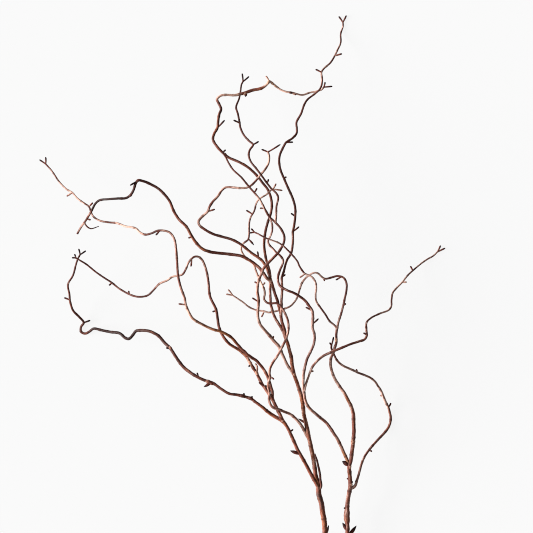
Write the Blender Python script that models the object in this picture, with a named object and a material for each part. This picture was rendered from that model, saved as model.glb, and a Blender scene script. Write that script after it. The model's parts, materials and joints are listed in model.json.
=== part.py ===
"""Two cut willow stems that lie together as a loose bunch.

Each stem is one solid, because it grew as one piece: its branches, buds, knobs and forked tips
are tubes along their own routes, sunk into what they grow from and joined to it.
+X runs across the bunch, +Y along it from the cut ends to the tips, +Z up from the surface it
lies on. The origin is on that surface, under the middle of the bunch.
"""

import math
from dataclasses import dataclass

import bpy
from mathutils import Vector

# Driving dimensions, in millimetres
MM = 0.001
MIDDLE = (-86.05, 472.75)
SAMPLE = 1.5
FLATNESS = 0.38
LONGEST_RUN = 26.0
COLLAR_SWELL = 0.22
COLLAR_REACH = 4.5
CURL_HEIGHT = 1.5
CURL_PITCH = 52.0
CURL_START = 25.0
CURL_CLEARANCE = 40.0
BUD_GIRTH = 2.7
BUD_RISE = 1.4
BUD_LOWEST = 0.8
TIP_GIRTH = 2.7
TIP_END_GIRTH = 1.9
TIP_SUNK = 1.6
TUBE_RESOLUTION = 1
SHARP_EDGE = math.radians(50)
BARK_ROUGHNESS = 0.62

# How thick a bud is along its length, as shares of its girth
BUD_FORM = ((0.0, 0.75), (0.5, 1.0), (1.0, 0.3))

# Colours of the two barks, as linear red, green and blue
BARK_LEFT = (0.17, 0.062, 0.036)
BARK_RIGHT = (0.19, 0.075, 0.045)


@dataclass(frozen=True)
class Branch:
    """One branch: its route is (x, y, height) from root to tip, and all sizes are millimetres.

    girth holds (share of the length, diameter), fork the ends of a forked tip, and each bud is
    (root x, root y, tip x, tip y) and, where it is plump, its girth.
    """

    parent: str
    girth: tuple
    route: tuple
    fork: tuple = ()
    buds: tuple = ()


LEFT_STEM = {
    "stem": Branch(
        parent="",
        girth=((0, 9.6), (0.13, 8.8), (0.35, 7.8), (0.49, 8.0), (0.56, 6.4), (0.8, 5.8), (1, 5.2)),
        route=(
            (62.5, 0, 4), (59.5, 30, 4), (53, 68, 7), (46, 118, 14), (38, 168, 24), (37, 184, 28),
            (34.5, 198.5, 31.5), (32.5, 213, 35.5), (28.5, 227, 40), (27.5, 243, 44), (24, 254, 46),
            (22, 269, 48.5), (19.5, 284, 51), (16.5, 299, 54), (14, 310.5, 56), (11.5, 323, 58),
            (9, 334.5, 60), (6, 347, 62), (4.5, 361, 64), (2, 374, 66), (-1.5, 386, 67.5),
            (-5, 396.5, 69), (-8.5, 406, 70), (-11.5, 420.5, 71.5), (-13, 433, 73), (-15.5, 442.5, 74),
            (-17.5, 450.5, 75), (-20, 458, 75.5), (-22, 463.5, 76),
        ),
        buds=(
            (40.5, 163.5, 43.5, 180.5, 3.4), (5.5, 331.5, -2.5, 340.5, 3.4),
        ),
    ),
    "low left": Branch(
        parent="stem",
        girth=(
            (0, 5.6), (0.08, 5.3), (0.17, 5.0), (0.2, 6.0), (0.22, 5.5), (0.25, 4.6), (0.275, 4.2),
            (0.284, 5.2), (0.292, 4.3), (0.302, 5.2), (0.32, 4.0), (0.38, 4.4), (0.45, 4.9), (0.6, 4.6),
            (0.7, 4.3), (0.78, 3.8), (1, 2.6),
        ),
        route=(
            (27.5, 235.5, 42.5), (25, 242.5, 44), (19.5, 252, 47), (14, 262.5, 50), (9, 272, 52.5),
            (1.5, 285.5, 56), (-3.5, 294, 58), (-8, 304.5, 60.5), (-14, 318, 63.5), (-19, 328, 65.5),
            (-25.5, 336.5, 67), (-38, 344, 69), (-47.5, 350.5, 71), (-57, 358.5, 72),
            (-66.5, 365.5, 73), (-72.5, 370, 73.5), (-82, 373.5, 74), (-95.5, 376.5, 74),
            (-105.5, 378, 74), (-117, 384.5, 73), (-130.5, 394, 72), (-140, 397, 70),
            (-149.5, 401, 68), (-161, 407.5, 66), (-174.5, 418, 62), (-186, 433.5, 58),
            (-193.5, 445, 55), (-203, 454.5, 51.5), (-212.5, 465, 48), (-226, 471.5, 43),
            (-237.5, 472.5, 38), (-245.5, 471.5, 34.5), (-250, 466, 32), (-256, 460, 30),
            (-261.5, 461, 27), (-270, 468, 23), (-283.5, 470, 17), (-297, 472.5, 11.5),
            (-309.5, 475, 6), (-316, 470.5, 2.6), (-322.5, 467.5, 1.3), (-328.5, 470.5, 1.2),
            (-328.5, 477.5, 1.3), (-324.5, 484, 3.4), (-331.5, 493, 9), (-340, 502, 16),
            (-344.5, 515.5, 24), (-345.5, 527, 31), (-347.5, 541.5, 36), (-340, 555, 40),
            (-336, 569.5, 42), (-333, 579, 42), (-328.5, 587.5, 41),
        ),
        fork=((-331.5, 595), (-320.5, 592)),
        buds=(
            (-1, 286, -14.5, 292.5, 5), (-14.5, 320.5, -10, 324.5), (-72.5, 370, -71.5, 374.5),
            (-83, 374.5, -84, 379), (-132.5, 393.5, -144, 388, 4.2), (-134.5, 395, -141, 390.5, 3.4),
            (-152, 401.5, -154, 409.5), (-193.5, 445, -200.5, 446.5), (-324.5, 484, -314.5, 487.5),
            (-345, 517.5, -353.5, 521.5),
        ),
    ),
    "mid left": Branch(
        parent="low left",
        girth=(
            (0, 5.2), (0.06, 5.2), (0.1, 4.7), (0.2, 4.5), (0.4, 4.0), (0.6, 3.1), (0.75, 3.1),
            (1, 2.5),
        ),
        route=(
            (-25.5, 337, 67), (-28, 342.5, 68), (-30, 347, 68.5), (-32.5, 352, 69), (-35.5, 358, 69.5),
            (-38, 363, 70), (-41, 369.5, 70), (-44, 374, 70), (-47, 378.5, 70), (-50, 383, 70),
            (-53.5, 388, 70), (-56.5, 392.5, 70.5), (-59, 397, 70.5), (-61, 401, 70.5),
            (-63.5, 406, 71), (-66, 410.5, 71), (-69, 415, 71), (-72, 420, 71), (-75, 425, 71),
            (-77.5, 430, 71), (-80, 433.5, 71), (-85, 438.5, 71), (-92, 444, 71.5), (-105.5, 452.5, 72),
            (-115, 464, 73), (-121, 477.5, 73.5), (-123, 489.5, 74), (-125.5, 504, 76),
            (-134.5, 524, 79), (-137, 547, 83), (-141, 566, 86), (-146.5, 578.5, 88), (-152.5, 583, 89),
            (-158.5, 582.5, 89), (-166, 575, 89), (-170.5, 564.5, 88), (-175.5, 556.5, 87.5),
            (-182, 554.5, 87), (-190.5, 553, 85.5), (-198.5, 547.5, 83.5), (-210, 542.5, 80),
            (-219.5, 532.5, 76), (-227, 525.5, 72), (-236.5, 523, 68), (-246, 523.5, 64),
            (-256, 527, 60), (-271, 535.5, 56), (-281.5, 544, 53), (-294, 552, 52), (-307.5, 561.5, 52),
            (-319, 571, 53), (-328.5, 577, 54), (-337, 582, 54),
        ),
        fork=((-341.5, 581.5), (-337.5, 587)),
        buds=(
            (-53, 385.5, -61.5, 395), (-51, 384.5, -51, 391), (-74, 424, -76.5, 418),
            (-124.5, 503, -131, 500.5), (-161, 579, -163, 568), (-281.5, 544, -286, 540),
            (-256, 527, -256.5, 532),
        ),
    ),
    "inner spur": Branch(
        parent="mid left",
        girth=((0, 3.2), (0.6, 3.2), (1, 2.2)),
        route=((-65, 409.5, 71), (-64, 415.5, 72), (-64.5, 419.5, 73), (-66.5, 423, 74)),
    ),
    "upper left": Branch(
        parent="mid left",
        girth=((0, 4.4), (0.2, 4.4), (0.3, 4.1), (0.5, 3.6), (0.75, 3.0), (1, 2.5)),
        route=(
            (-39.5, 366, 70), (-41, 372, 70.5), (-41, 376.5, 71), (-41.5, 382, 71.5), (-43, 387, 72),
            (-44.5, 392.5, 73), (-46.5, 398.5, 73.5), (-49, 405, 74.5), (-51.5, 410, 75.5),
            (-54.5, 415, 76), (-58, 419.5, 77), (-61, 423, 78), (-64, 426.5, 79), (-68, 429.5, 79.5),
            (-71.5, 431.5, 80), (-74.5, 434, 81), (-78.5, 436.5, 82), (-82, 440.5, 83.5),
            (-86.5, 444, 85), (-94, 452.5, 87), (-103.5, 463, 90), (-117, 470.5, 92), (-130.5, 474.5, 95),
            (-146.5, 482, 98), (-160, 490.5, 101), (-167.5, 503, 104), (-170.5, 511, 106),
            (-172.5, 522, 108), (-177.5, 535.5, 110), (-182, 554.5, 112), (-183.5, 575.5, 113),
            (-185, 595, 112), (-188, 610, 110), (-194.5, 619, 107), (-204, 622, 104), (-213.5, 621.5, 101),
            (-221.5, 618, 98), (-231, 616, 95), (-238.5, 619, 92), (-246, 625.5, 88.5),
            (-261.5, 628.5, 82), (-273, 633, 77), (-286.5, 634.5, 71), (-299.5, 637, 66),
            (-309.5, 643.5, 62), (-313, 650.5, 60), (-316, 658, 58), (-323, 663, 56), (-333.5, 670.5, 52),
            (-341, 679, 49), (-349.5, 684, 46), (-360, 694.5, 43), (-372.5, 712.5, 39), (-382, 723, 36),
        ),
        fork=((-390.5, 728.5), (-381, 732.5)),
        buds=(
            (-170.5, 511, -181.5, 512.5), (-210, 622, -215.5, 615), (-316, 658, -310, 664),
            (-341, 678.5, -349.5, 673.5),
        ),
    ),
    "crown": Branch(
        parent="stem",
        girth=(
            (0, 4.4), (0.15, 3.9), (0.25, 4.0), (0.35, 3.8), (0.5, 4.0), (0.68, 4.1), (0.73, 3.6),
            (0.77, 4.8), (0.81, 4.8), (0.85, 3.1), (1, 2.6),
        ),
        route=(
            (-21, 460, 75.5), (-23, 465, 76), (-24.5, 469.5, 76), (-28, 476.5, 76.5), (-32, 483, 76.5),
            (-36.5, 490.5, 77), (-40, 498.5, 77), (-42, 505.5, 77), (-43.5, 511.5, 77),
            (-44, 518.5, 76.5), (-44.5, 529.5, 75.5), (-44.5, 539.5, 74), (-44.5, 547.5, 73),
            (-44.5, 555, 71.5), (-45.5, 562, 70.5), (-47, 567.5, 70), (-49, 573.5, 69.5), (-51, 581.5, 69),
            (-53.5, 600, 69), (-52, 618, 69.5), (-48, 634.5, 70.5), (-43.5, 648, 72), (-42, 663, 73),
            (-47, 681.5, 75), (-55.5, 693, 76), (-65, 705, 76.5), (-78, 717, 76), (-92, 725, 74.5),
            (-107.5, 732, 73), (-117, 740, 72), (-124.5, 748.5, 70), (-130, 758, 68), (-128.5, 766.5, 65),
            (-123.5, 776, 62), (-122.5, 784, 60), (-121, 795.5, 56), (-118, 804, 54), (-121, 811.5, 52),
            (-124, 819, 50), (-119, 824, 48), (-111, 825.5, 46), (-98, 825, 44), (-84, 828, 43),
            (-71, 832.5, 42.5), (-57.5, 835.5, 42), (-50, 840.5, 42), (-46, 846, 42), (-38.5, 841, 41),
            (-29, 833.5, 40), (-19.5, 830, 38.5), (-11.5, 829, 37), (3.5, 825.5, 34.5), (15, 829, 32),
            (25, 831, 31), (32.5, 833.5, 30), (37, 838.5, 29),
        ),
        fork=((38, 845), (49, 838.5)),
        buds=(
            (-123.5, 776, -112.5, 787.5), (-46, 846, -51, 854), (-81.5, 830, -81.5, 822.5, 4.2),
            (-15, 829.5, -5.5, 825.5), (-116, 738.5, -111, 743),
        ),
    ),
    "crook": Branch(
        parent="stem",
        girth=((0, 4.8), (0.2, 4.4), (0.4, 4.1), (0.55, 3.9), (0.65, 3.8), (0.75, 3.4), (1, 3.2)),
        route=(
            (-21, 460, 75.5), (-22, 466, 76), (-22.5, 471, 76.5), (-24, 476.5, 77), (-26, 482.5, 78),
            (-27.5, 489, 79), (-28.5, 496, 80), (-29.5, 502, 81), (-32, 510.5, 82), (-34, 518.5, 83),
            (-37, 526.5, 84), (-39.5, 535, 85), (-41.5, 542, 86), (-44, 549.5, 86), (-46, 556, 86.5),
            (-48, 562.5, 86.5), (-50.5, 568, 86.5), (-53, 572, 87), (-57, 577.5, 87), (-63.5, 582.5, 87),
            (-73, 589, 87.5), (-82.5, 597, 88), (-90, 602.5, 88), (-101.5, 608.5, 88), (-115, 612.5, 88),
            (-130, 617, 87), (-142, 623.5, 86), (-150.5, 630.5, 85), (-151.5, 636, 84.5),
            (-145.5, 643.5, 84), (-138, 650.5, 84), (-135, 658, 84), (-130, 665.5, 84), (-122.5, 673.5, 84),
            (-117, 682, 84), (-111, 686.5, 84), (-99.5, 686.5, 84.5), (-88, 685.5, 85), (-78.5, 686.5, 85),
            (-73, 689.5, 85), (-65.5, 697, 85.5), (-59.5, 705, 86), (-52, 713.5, 86.5), (-47, 723, 87.5),
            (-46, 732.5, 88), (-48, 741, 89),
        ),
        fork=((-57.5, 743.5), (-29, 751)),
        buds=((-138, 650.5, -127, 654), (-62.5, 582, -63.5, 591)),
    ),
    "side": Branch(
        parent="crook",
        girth=(
            (0, 4.9), (0.1, 4.6), (0.3, 4.6), (0.5, 4.1), (0.68, 4.0), (0.8, 3.5), (0.9, 3.4), (1, 3.0),
        ),
        route=(
            (-43, 546, 86), (-49, 550.5, 85.5), (-52.5, 555, 85.5), (-56, 560, 85), (-60.5, 566, 85),
            (-65.5, 570.5, 85), (-70, 574, 85), (-74.5, 577, 85), (-86.5, 583.5, 84.5), (-103.5, 586.5, 84),
            (-122.5, 588.5, 84), (-133.5, 590, 84), (-145.5, 594.5, 85), (-154.5, 603, 86),
            (-162, 614, 88), (-169.5, 627.5, 90), (-181, 639, 92), (-189, 652, 94), (-194.5, 665.5, 95),
            (-202, 675.5, 96), (-212, 685, 96), (-221.5, 690.5, 96), (-233, 695.5, 96), (-241.5, 697, 95.5),
            (-245.5, 692.5, 95), (-249, 682, 93.5), (-254, 674.5, 92), (-260.5, 670.5, 90), (-271, 670, 87),
            (-286.5, 669, 81), (-299.5, 667.5, 76), (-305.5, 663, 73), (-313, 649.5, 69),
            (-322, 635, 65), (-327.5, 627.5, 62), (-333.5, 617, 60),
        ),
        buds=((-241.5, 697, -254, 689.5), (-162, 612, -167, 611), (-319, 640, -313, 638)),
    ),
    "side twig": Branch(
        parent="side",
        girth=((0, 2.4), (0.5, 2.0), (1, 1.2)),
        route=((-322.5, 634, 65), (-318.5, 628, 64), (-313, 625, 63), (-301, 628.5, 62)),
    ),
    "loop": Branch(
        parent="stem",
        girth=(
            (0, 4.0), (0.07, 4.2), (0.12, 5.2), (0.17, 5.0), (0.22, 4.2), (0.35, 4.3), (0.5, 4.1),
            (0.6, 3.6), (0.75, 3.2), (1, 2.6),
        ),
        route=(
            (-8, 404.5, 69.5), (-13, 412, 71), (-19, 421.5, 72), (-23.5, 431, 74), (-27.5, 439.5, 75.5),
            (-31.5, 448.5, 77), (-39, 457, 79.5), (-46, 465.5, 82), (-53.5, 474, 84.5), (-59.5, 482, 87),
            (-62.5, 491.5, 88.5), (-63, 501, 90), (-62, 510.5, 91), (-62, 520, 92), (-63.5, 529.5, 93),
            (-63.5, 537.5, 94), (-62.5, 544, 94.5), (-60.5, 550.5, 95), (-57, 559, 96), (-54, 566, 96.5),
            (-48, 573, 97), (-38.5, 582.5, 97.5), (-31, 591, 98), (-24, 604.5, 98), (-23.5, 614, 97),
            (-29, 625.5, 96), (-37.5, 635, 95.5), (-46, 643, 96), (-53.5, 656, 97), (-59.5, 667.5, 98),
            (-65.5, 675.5, 98.5), (-73, 684, 98), (-78.5, 690.5, 97.5), (-88, 702, 96), (-99.5, 712.5, 94),
            (-106.5, 723, 91), (-112, 733.5, 88), (-116, 738.5, 87),
        ),
        buds=(
            (-63, 516, -71.5, 521.5), (-68, 679, -64, 685.5), (-41, 459, -39.5, 464.5),
            (-63, 543, -68, 545.5),
        ),
    ),
    "loop twig": Branch(
        parent="loop",
        girth=((0, 3.0), (0.4, 3.1), (0.6, 3.2), (0.8, 3.0), (1, 2.5)),
        route=(
            (-36, 634, 95.5), (-35.5, 644.5, 96), (-35, 658, 96), (-32.5, 671.5, 95.5), (-35.5, 678, 95),
            (-42.5, 684.5, 94.5), (-50, 694, 94), (-57.5, 704.5, 94), (-65.5, 715, 92), (-73, 724.5, 89),
            (-76.5, 734, 86), (-75, 742.5, 82), (-70, 750.5, 79), (-76, 756, 76), (-83.5, 764.5, 70),
            (-89, 776, 64), (-90.5, 785.5, 58), (-93, 797.5, 50), (-95.5, 807, 44), (-91, 820, 36),
            (-89, 830.5, 30), (-87.5, 841, 27), (-84.5, 847, 25),
        ),
        fork=((-86.5, 858), (-76, 853.5)),
        buds=((-90, 783, -99.5, 787.5), (-70, 750.5, -61.5, 755.5), (-49.5, 693, -47, 699)),
    ),
    "wanderer": Branch(
        parent="stem",
        girth=((0, 4.9), (0.06, 4.5), (0.15, 4.0), (0.4, 3.7), (0.55, 3.4), (0.7, 3.0), (1, 2.5)),
        route=(
            (13.5, 311, 56), (10.5, 315, 57), (7, 322, 59), (2, 330.5, 62), (-3.5, 337.5, 66),
            (-9.5, 343.5, 69.5), (-16, 348, 73), (-23.5, 351, 76.5), (-31, 354.5, 79), (-37.5, 356, 80),
            (-42, 359, 80.5), (-44.5, 363, 81), (-46, 368.5, 82), (-46, 373.5, 82.5), (-45.5, 378.5, 83),
            (-46.5, 384, 83.5), (-47.5, 389.5, 84), (-47, 394, 84.5), (-45.5, 399, 85), (-44.5, 403.5, 85.5),
            (-45.5, 408, 86), (-44.5, 416, 87), (-40, 425.5, 89), (-34, 434, 90.5), (-28.5, 444.5, 92.5),
            (-23.5, 454, 94), (-20, 462, 95), (-17.5, 471, 96), (-17, 479.5, 96), (-18, 487.5, 96),
            (-20.5, 494.5, 95.5), (-24.5, 502.5, 95), (-28, 508, 94.5), (-31.5, 511.5, 94), (-36, 513.5, 94),
            (-44, 513, 93), (-49.5, 514.5, 92.5), (-53.5, 519.5, 92), (-52.5, 527.5, 90.5),
            (-53.5, 534.5, 88.5), (-57, 541.5, 86), (-60.5, 549, 83), (-64, 557, 80), (-67, 565.5, 78),
            (-70, 572.5, 76.5), (-75.5, 578, 75.5), (-82.5, 583.5, 75), (-87.5, 592, 75.5), (-87, 600, 76.5),
            (-82.5, 604.5, 77.5), (-77.5, 608.5, 79), (-76, 618, 81), (-76, 631, 83), (-74, 641, 84),
            (-71, 646.5, 85), (-68, 652, 86), (-65.5, 662, 86.5), (-61.5, 668.5, 86.5), (-50, 676, 86.5),
            (-42.5, 683, 86.5), (-39, 684.5, 86.5),
        ),
        fork=((-35.5, 692.5), (-26, 682)),
        buds=(
            (-44.5, 404, -38.5, 399.5), (-71, 646.5, -80.5, 652.5), (-77, 609, -68.5, 600, 3),
            (-56.5, 540, -52, 544.5),
        ),
    ),
    "tall": Branch(
        parent="crook",
        girth=((0, 4.1), (0.08, 3.8), (0.15, 3.5), (0.3, 3.7), (0.55, 3.5), (0.75, 2.9), (1, 2.5)),
        route=(
            (-28.5, 495.5, 80), (-27.5, 503, 81.5), (-27.5, 510, 83), (-27.5, 517.5, 84), (-27, 525, 85),
            (-26.5, 536.5, 86), (-27, 545, 87), (-27, 552.5, 87.5), (-24.5, 559.5, 88), (-22, 569.5, 88),
            (-19, 578.5, 88), (-13.5, 587.5, 88), (-10.5, 604.5, 87.5), (-10.5, 620.5, 87), (-9, 627.5, 86.5),
            (-7, 643, 85), (-7, 656, 84), (-10.5, 669.5, 82), (-17.5, 685.5, 80), (-24, 700.5, 78),
            (-29, 713, 76), (-31, 724.5, 74), (-30, 735, 72), (-25, 746.5, 70), (-20.5, 754, 68),
            (-11.5, 760, 65), (-5, 767.5, 63), (-4.5, 774.5, 61), (-5, 784, 58), (2, 797.5, 54),
            (6.5, 810.5, 50), (11.5, 818.5, 47), (21, 826, 44), (29.5, 833.5, 42), (32.5, 839.5, 40),
            (33.5, 849, 37), (32.5, 859.5, 34), (36, 865, 31), (46, 874, 26), (52.5, 884.5, 21),
            (56.5, 893, 16), (61.5, 904.5, 8.5), (61.5, 917.5, 2.6), (65, 930, 0.9), (64.5, 936.5, 0.8),
        ),
        fork=((58.5, 944), (70, 945.5)),
        buds=(
            (52.5, 884.5, 63.5, 887.5), (32.5, 859.5, 23.5, 864), (-20.5, 754, -10, 754.5),
            (-7, 643.5, -13.5, 648), (-10.5, 620.5, -1, 628), (-27, 553, -21.5, 556.5),
            (-24, 700, -20, 702.5),
        ),
    ),
    "dark spur": Branch(
        parent="stem",
        girth=((0, 3.8), (0.3, 3.8), (0.85, 3.0), (1, 1.6)),
        route=(
            (29.5, 231, 41), (32, 239.5, 44), (31, 247, 46.5), (30, 258, 49.5), (27.5, 270, 52),
            (25, 280, 54), (22.5, 288, 56),
        ),
    ),
}

RIGHT_STEM = {
    "stem": Branch(
        parent="",
        girth=(
            (0, 7.6), (0.2, 6.8), (0.365, 6.3), (0.38, 9.0), (0.4, 9.2), (0.415, 6.4), (0.46, 6.4),
            (0.5, 6.2), (0.7, 5.6), (0.85, 4.3), (1, 3.9),
        ),
        route=(
            (71.1, 3, 3.1), (71.3, 34.5, 3.1), (71, 72, 6), (71, 118, 12), (71.5, 168, 21), (71.5, 179, 23),
            (70.5, 193.5, 25), (71, 205, 27), (72, 217.5, 29), (74, 229, 31), (75.5, 236.5, 32.5),
            (75.5, 246, 34.5), (74.5, 259, 37), (74, 268, 39), (76.5, 278, 41), (78, 289.5, 43.5),
            (79.5, 301, 46), (80.5, 312, 48), (81, 322.5, 50), (80.5, 334.5, 52), (80, 348, 54.5),
            (76.5, 359.5, 56.5), (71.5, 369.5, 58), (66.5, 379, 59.5), (59, 389.5, 61), (52, 401, 63),
            (48, 411.5, 65), (46, 421, 66.5), (46.5, 431, 68), (48.5, 436, 68.5), (50.5, 442, 69.5),
            (52.5, 448, 70.5), (54.5, 454, 71), (54.5, 460, 71.5), (54.5, 468, 73), (56, 478, 74),
        ),
        buds=(
            (70, 170.5, 64, 184, 5.4), (73.5, 163, 85, 179.5, 5.4), (70.5, 204, 66, 206.5),
            (75, 249, 70.5, 250.5), (70.5, 194, 74.5, 195.5, 4), (76.5, 240, 79, 246.5),
        ),
    ),
    "cross": Branch(
        parent="stem",
        girth=(
            (0, 5.0), (0.08, 4.8), (0.2, 4.6), (0.35, 4.4), (0.45, 3.9), (0.55, 4.2), (0.7, 3.7),
            (0.9, 3.0), (1, 2.5),
        ),
        route=(
            (74, 270, 39.5), (71.5, 277, 41.5), (66, 289, 45), (61, 300.5, 48), (56, 310.5, 51),
            (51, 318, 54), (46.5, 325, 56.5), (39, 335, 60), (31, 341.5, 63.5), (23.5, 348, 67),
            (16, 354.5, 70), (11, 361, 72), (8, 368.5, 74), (6.5, 378, 76), (5, 390, 78), (5, 398.5, 79),
            (5.5, 407.5, 80.5), (7.5, 418, 82), (11, 430.5, 83.5), (16, 441, 84.5), (20.5, 451.5, 85.5),
            (22, 460.5, 86), (21.5, 468, 86.5), (19, 476, 87.5), (19, 484, 88.5), (19.5, 493.5, 90),
            (18.5, 502, 91.5), (13.5, 509.5, 93), (8, 517, 94), (0.5, 523, 95), (-9.5, 529, 96),
            (-17.5, 532, 96.5), (-24.5, 535.5, 97), (-30, 539.5, 96.5), (-32.5, 546, 96), (-32.5, 553.5, 95),
            (-29.5, 563.5, 93), (-26, 571.5, 91.5), (-25, 577.5, 90.5), (-29, 584, 89.5), (-35, 589, 89),
            (-40.5, 595, 88.5), (-46.5, 601.5, 88.5), (-47.5, 607, 88), (-44.5, 613, 87.5),
            (-41.5, 621.5, 87), (-41.5, 631, 86), (-44.5, 640, 85.5), (-49, 649, 85), (-53.5, 656.5, 85),
        ),
        fork=((-56, 662), (-60, 655.5)),
        buds=((74, 266, 63.5, 276.5, 7), (19, 482, 28, 490.5), (18.5, 501.5, 8.5, 507.5)),
    ),
    "reach": Branch(
        parent="cross",
        girth=(
            (0, 3.2), (0.12, 3.6), (0.2, 4.0), (0.3, 3.7), (0.42, 3.7), (0.52, 2.9), (0.7, 2.8),
            (1, 2.4),
        ),
        route=(
            (6.5, 379, 76), (8, 388, 77.5), (10.5, 397, 78.5), (15, 409.5, 79.5), (19, 418.5, 80),
            (26.5, 427.5, 80.5), (35, 434.5, 81), (44.5, 439, 81.5), (53.5, 443, 81), (62, 446.5, 80),
            (75.5, 452, 77), (89.5, 456.5, 73), (96.5, 459, 71), (100, 464.5, 68.5), (99.5, 474, 64.5),
            (100, 484.5, 60), (107, 491.5, 56), (120.5, 498, 51), (133, 503, 45.5), (137, 508.5, 42.5),
            (137.5, 518.5, 38), (139.5, 529, 32.5), (146.5, 537.5, 27), (153.5, 544.5, 22), (162, 555, 15),
            (169.5, 562, 11), (182.5, 573, 4.5), (192, 579.5, 1.4), (200, 584, 0.8), (208, 591.5, 0.8),
        ),
        fork=((211.5, 600), (218.5, 596)),
        buds=((100, 466, 95, 469), (169.5, 562, 166, 569), (153, 544, 160.5, 545), (15, 411, 20.5, 412)),
    ),
    "hoop": Branch(
        parent="stem",
        girth=(
            (0, 4.4), (0.03, 4.6), (0.08, 3.8), (0.2, 3.7), (0.4, 3.9), (0.55, 4.0), (0.65, 3.3),
            (0.85, 3.6), (1, 3.0),
        ),
        route=(
            (75.5, 234.5, 32), (80, 237, 31.5), (83.5, 240.5, 31), (85, 245.5, 30), (87.5, 253.5, 28),
            (90.5, 264.5, 25), (94, 276, 22), (99, 286, 18.5), (104, 293, 16), (111.5, 302, 12),
            (119.5, 310.5, 8), (127.5, 319, 4.2), (133, 326.5, 2), (136, 335, 1.2), (136.5, 342, 1.2),
            (135, 349.5, 2), (133, 356.5, 4), (129.5, 363.5, 7), (125.5, 373, 12), (122, 381.5, 16),
            (117, 389.5, 20), (112.5, 396, 24), (105.5, 401.5, 28), (97, 405.5, 32), (87.5, 409, 36),
            (80.5, 412.5, 39), (72.5, 416, 42.5), (65, 419.5, 46), (59, 424, 49), (54.5, 429.5, 51.5),
            (52, 434.5, 53), (50, 439.5, 54.5), (48, 443.5, 55.5), (47, 447.5, 56.5), (47.5, 451, 57),
        ),
        fork=((44.5, 454.5), (50.5, 463)),
        buds=(
            (104, 293, 108.5, 290.5), (86, 409.5, 84.5, 414.5), (133, 356, 137, 363.5),
            (125, 373.5, 121, 375),
        ),
    ),
    "sweep": Branch(
        parent="stem",
        girth=((0, 3.0), (0.35, 3.0), (0.45, 3.2), (0.6, 2.7), (1, 2.4)),
        route=(
            (55.5, 475.5, 73.5), (52, 480, 75), (44.5, 486.5, 77), (38.5, 496, 79.5), (31, 506.5, 82),
            (24.5, 516.5, 85), (23.5, 526.5, 87), (24.5, 536, 89), (23, 545.5, 91), (18.5, 552, 93),
            (13.5, 555, 94), (7.5, 557.5, 95.5), (4, 561.5, 97), (-0.5, 568.5, 99), (-3.5, 575.5, 101),
            (-7.5, 581, 102.5), (-12, 586, 104), (-18.5, 593, 106), (-25.5, 599.5, 108),
            (-31.5, 603.5, 108.5), (-40.5, 607, 109), (-49, 610, 108.5), (-57, 614, 108),
            (-63.5, 617.5, 107), (-69.5, 620, 106),
        ),
        fork=((-73, 625), (-75.5, 618.5)),
        buds=((7, 557.5, -0.5, 551.5),),
    ),
    "ring": Branch(
        parent="stem",
        girth=((0, 3.5), (0.38, 3.1), (0.44, 2.7), (0.52, 3.4), (0.6, 3.0), (1, 2.4)),
        route=(
            (55.5, 475.5, 73.5), (58, 486.5, 75), (61.5, 497, 77), (64.5, 508.5, 78.5), (67, 520, 80),
            (69.5, 531.5, 80.5), (70, 540.5, 81), (68.5, 547, 81), (64.5, 552, 81.5), (56, 554, 82),
            (46, 551.5, 82), (37.5, 550, 82), (32.5, 553, 82), (27, 558, 82), (22, 559, 82),
            (15.5, 556.5, 81.5), (9, 551.5, 80), (3, 543.5, 78), (-0.5, 533.5, 76), (-4, 522, 73.5),
            (-9.5, 513.5, 71), (-15, 508.5, 69.5), (-23.5, 505, 68), (-33.5, 502, 66.5), (-40, 500.5, 66),
            (-47, 499.5, 66), (-53.5, 501.5, 66), (-59, 502, 66), (-67, 503.5, 67), (-76.5, 508, 68),
            (-86, 515.5, 69), (-95, 521.5, 70), (-102, 526, 71),
        ),
        fork=((-107.5, 534), (-110.5, 527)),
        buds=(
            (-53.5, 501.5, -57.5, 492.5), (61.5, 553, 53.5, 548), (65, 510.5, 69, 513),
            (35, 551.5, 37, 546.5),
        ),
    ),
}


def smooth_route(waypoints):
    """Return points about SAMPLE apart along a centripetal Catmull-Rom curve."""
    points = [Vector(point) for point in waypoints]
    ends = [2 * points[0] - points[1]] + points + [2 * points[-1] - points[-2]]
    route = []
    for before, start, end, after in zip(ends, ends[1:], ends[2:], ends[3:]):
        knots = [0.0]
        for one, other in ((before, start), (start, end), (end, after)):
            knots.append(knots[-1] + math.sqrt((other - one).length))
        steps = max(2, round((end - start).length / SAMPLE))
        for step in range(steps):
            knot = knots[1] + (knots[2] - knots[1]) * step / steps
            first = before.lerp(start, knot / knots[1])
            second = start.lerp(end, (knot - knots[1]) / (knots[2] - knots[1]))
            third = end.lerp(after, (knot - knots[2]) / (knots[3] - knots[2]))
            left = first.lerp(second, knot / knots[2])
            right = second.lerp(third, (knot - knots[1]) / (knots[3] - knots[1]))
            route.append(left.lerp(right, (knot - knots[1]) / (knots[2] - knots[1])))
    route.append(points[-1])
    return route


def distances(route):
    """Return how far along the route each of its points lies."""
    along = [0.0]
    for one, other in zip(route, route[1:]):
        along.append(along[-1] + (other - one).length)
    return along


def between_stops(stops, share):
    """Return the value at a share of the length, straight between its stops."""
    for (low, value), (high, following) in zip(stops, stops[1:]):
        if share <= high:
            return value + (following - value) * (share - low) / (high - low)
    return stops[-1][1]


def curl(route, phase):
    """Add the slow rise and fall of a curly twig, none at its root or near the surface."""
    curled = []
    for point, along in zip(route, distances(route)):
        fade = min(1.0, along / CURL_START) * min(1.0, max(0.0, point.z) / CURL_CLEARANCE)
        lift = CURL_HEIGHT * fade * math.sin(2 * math.pi * along / CURL_PITCH + phase)
        curled.append(point + Vector((0, 0, lift)))
    return curled


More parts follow.
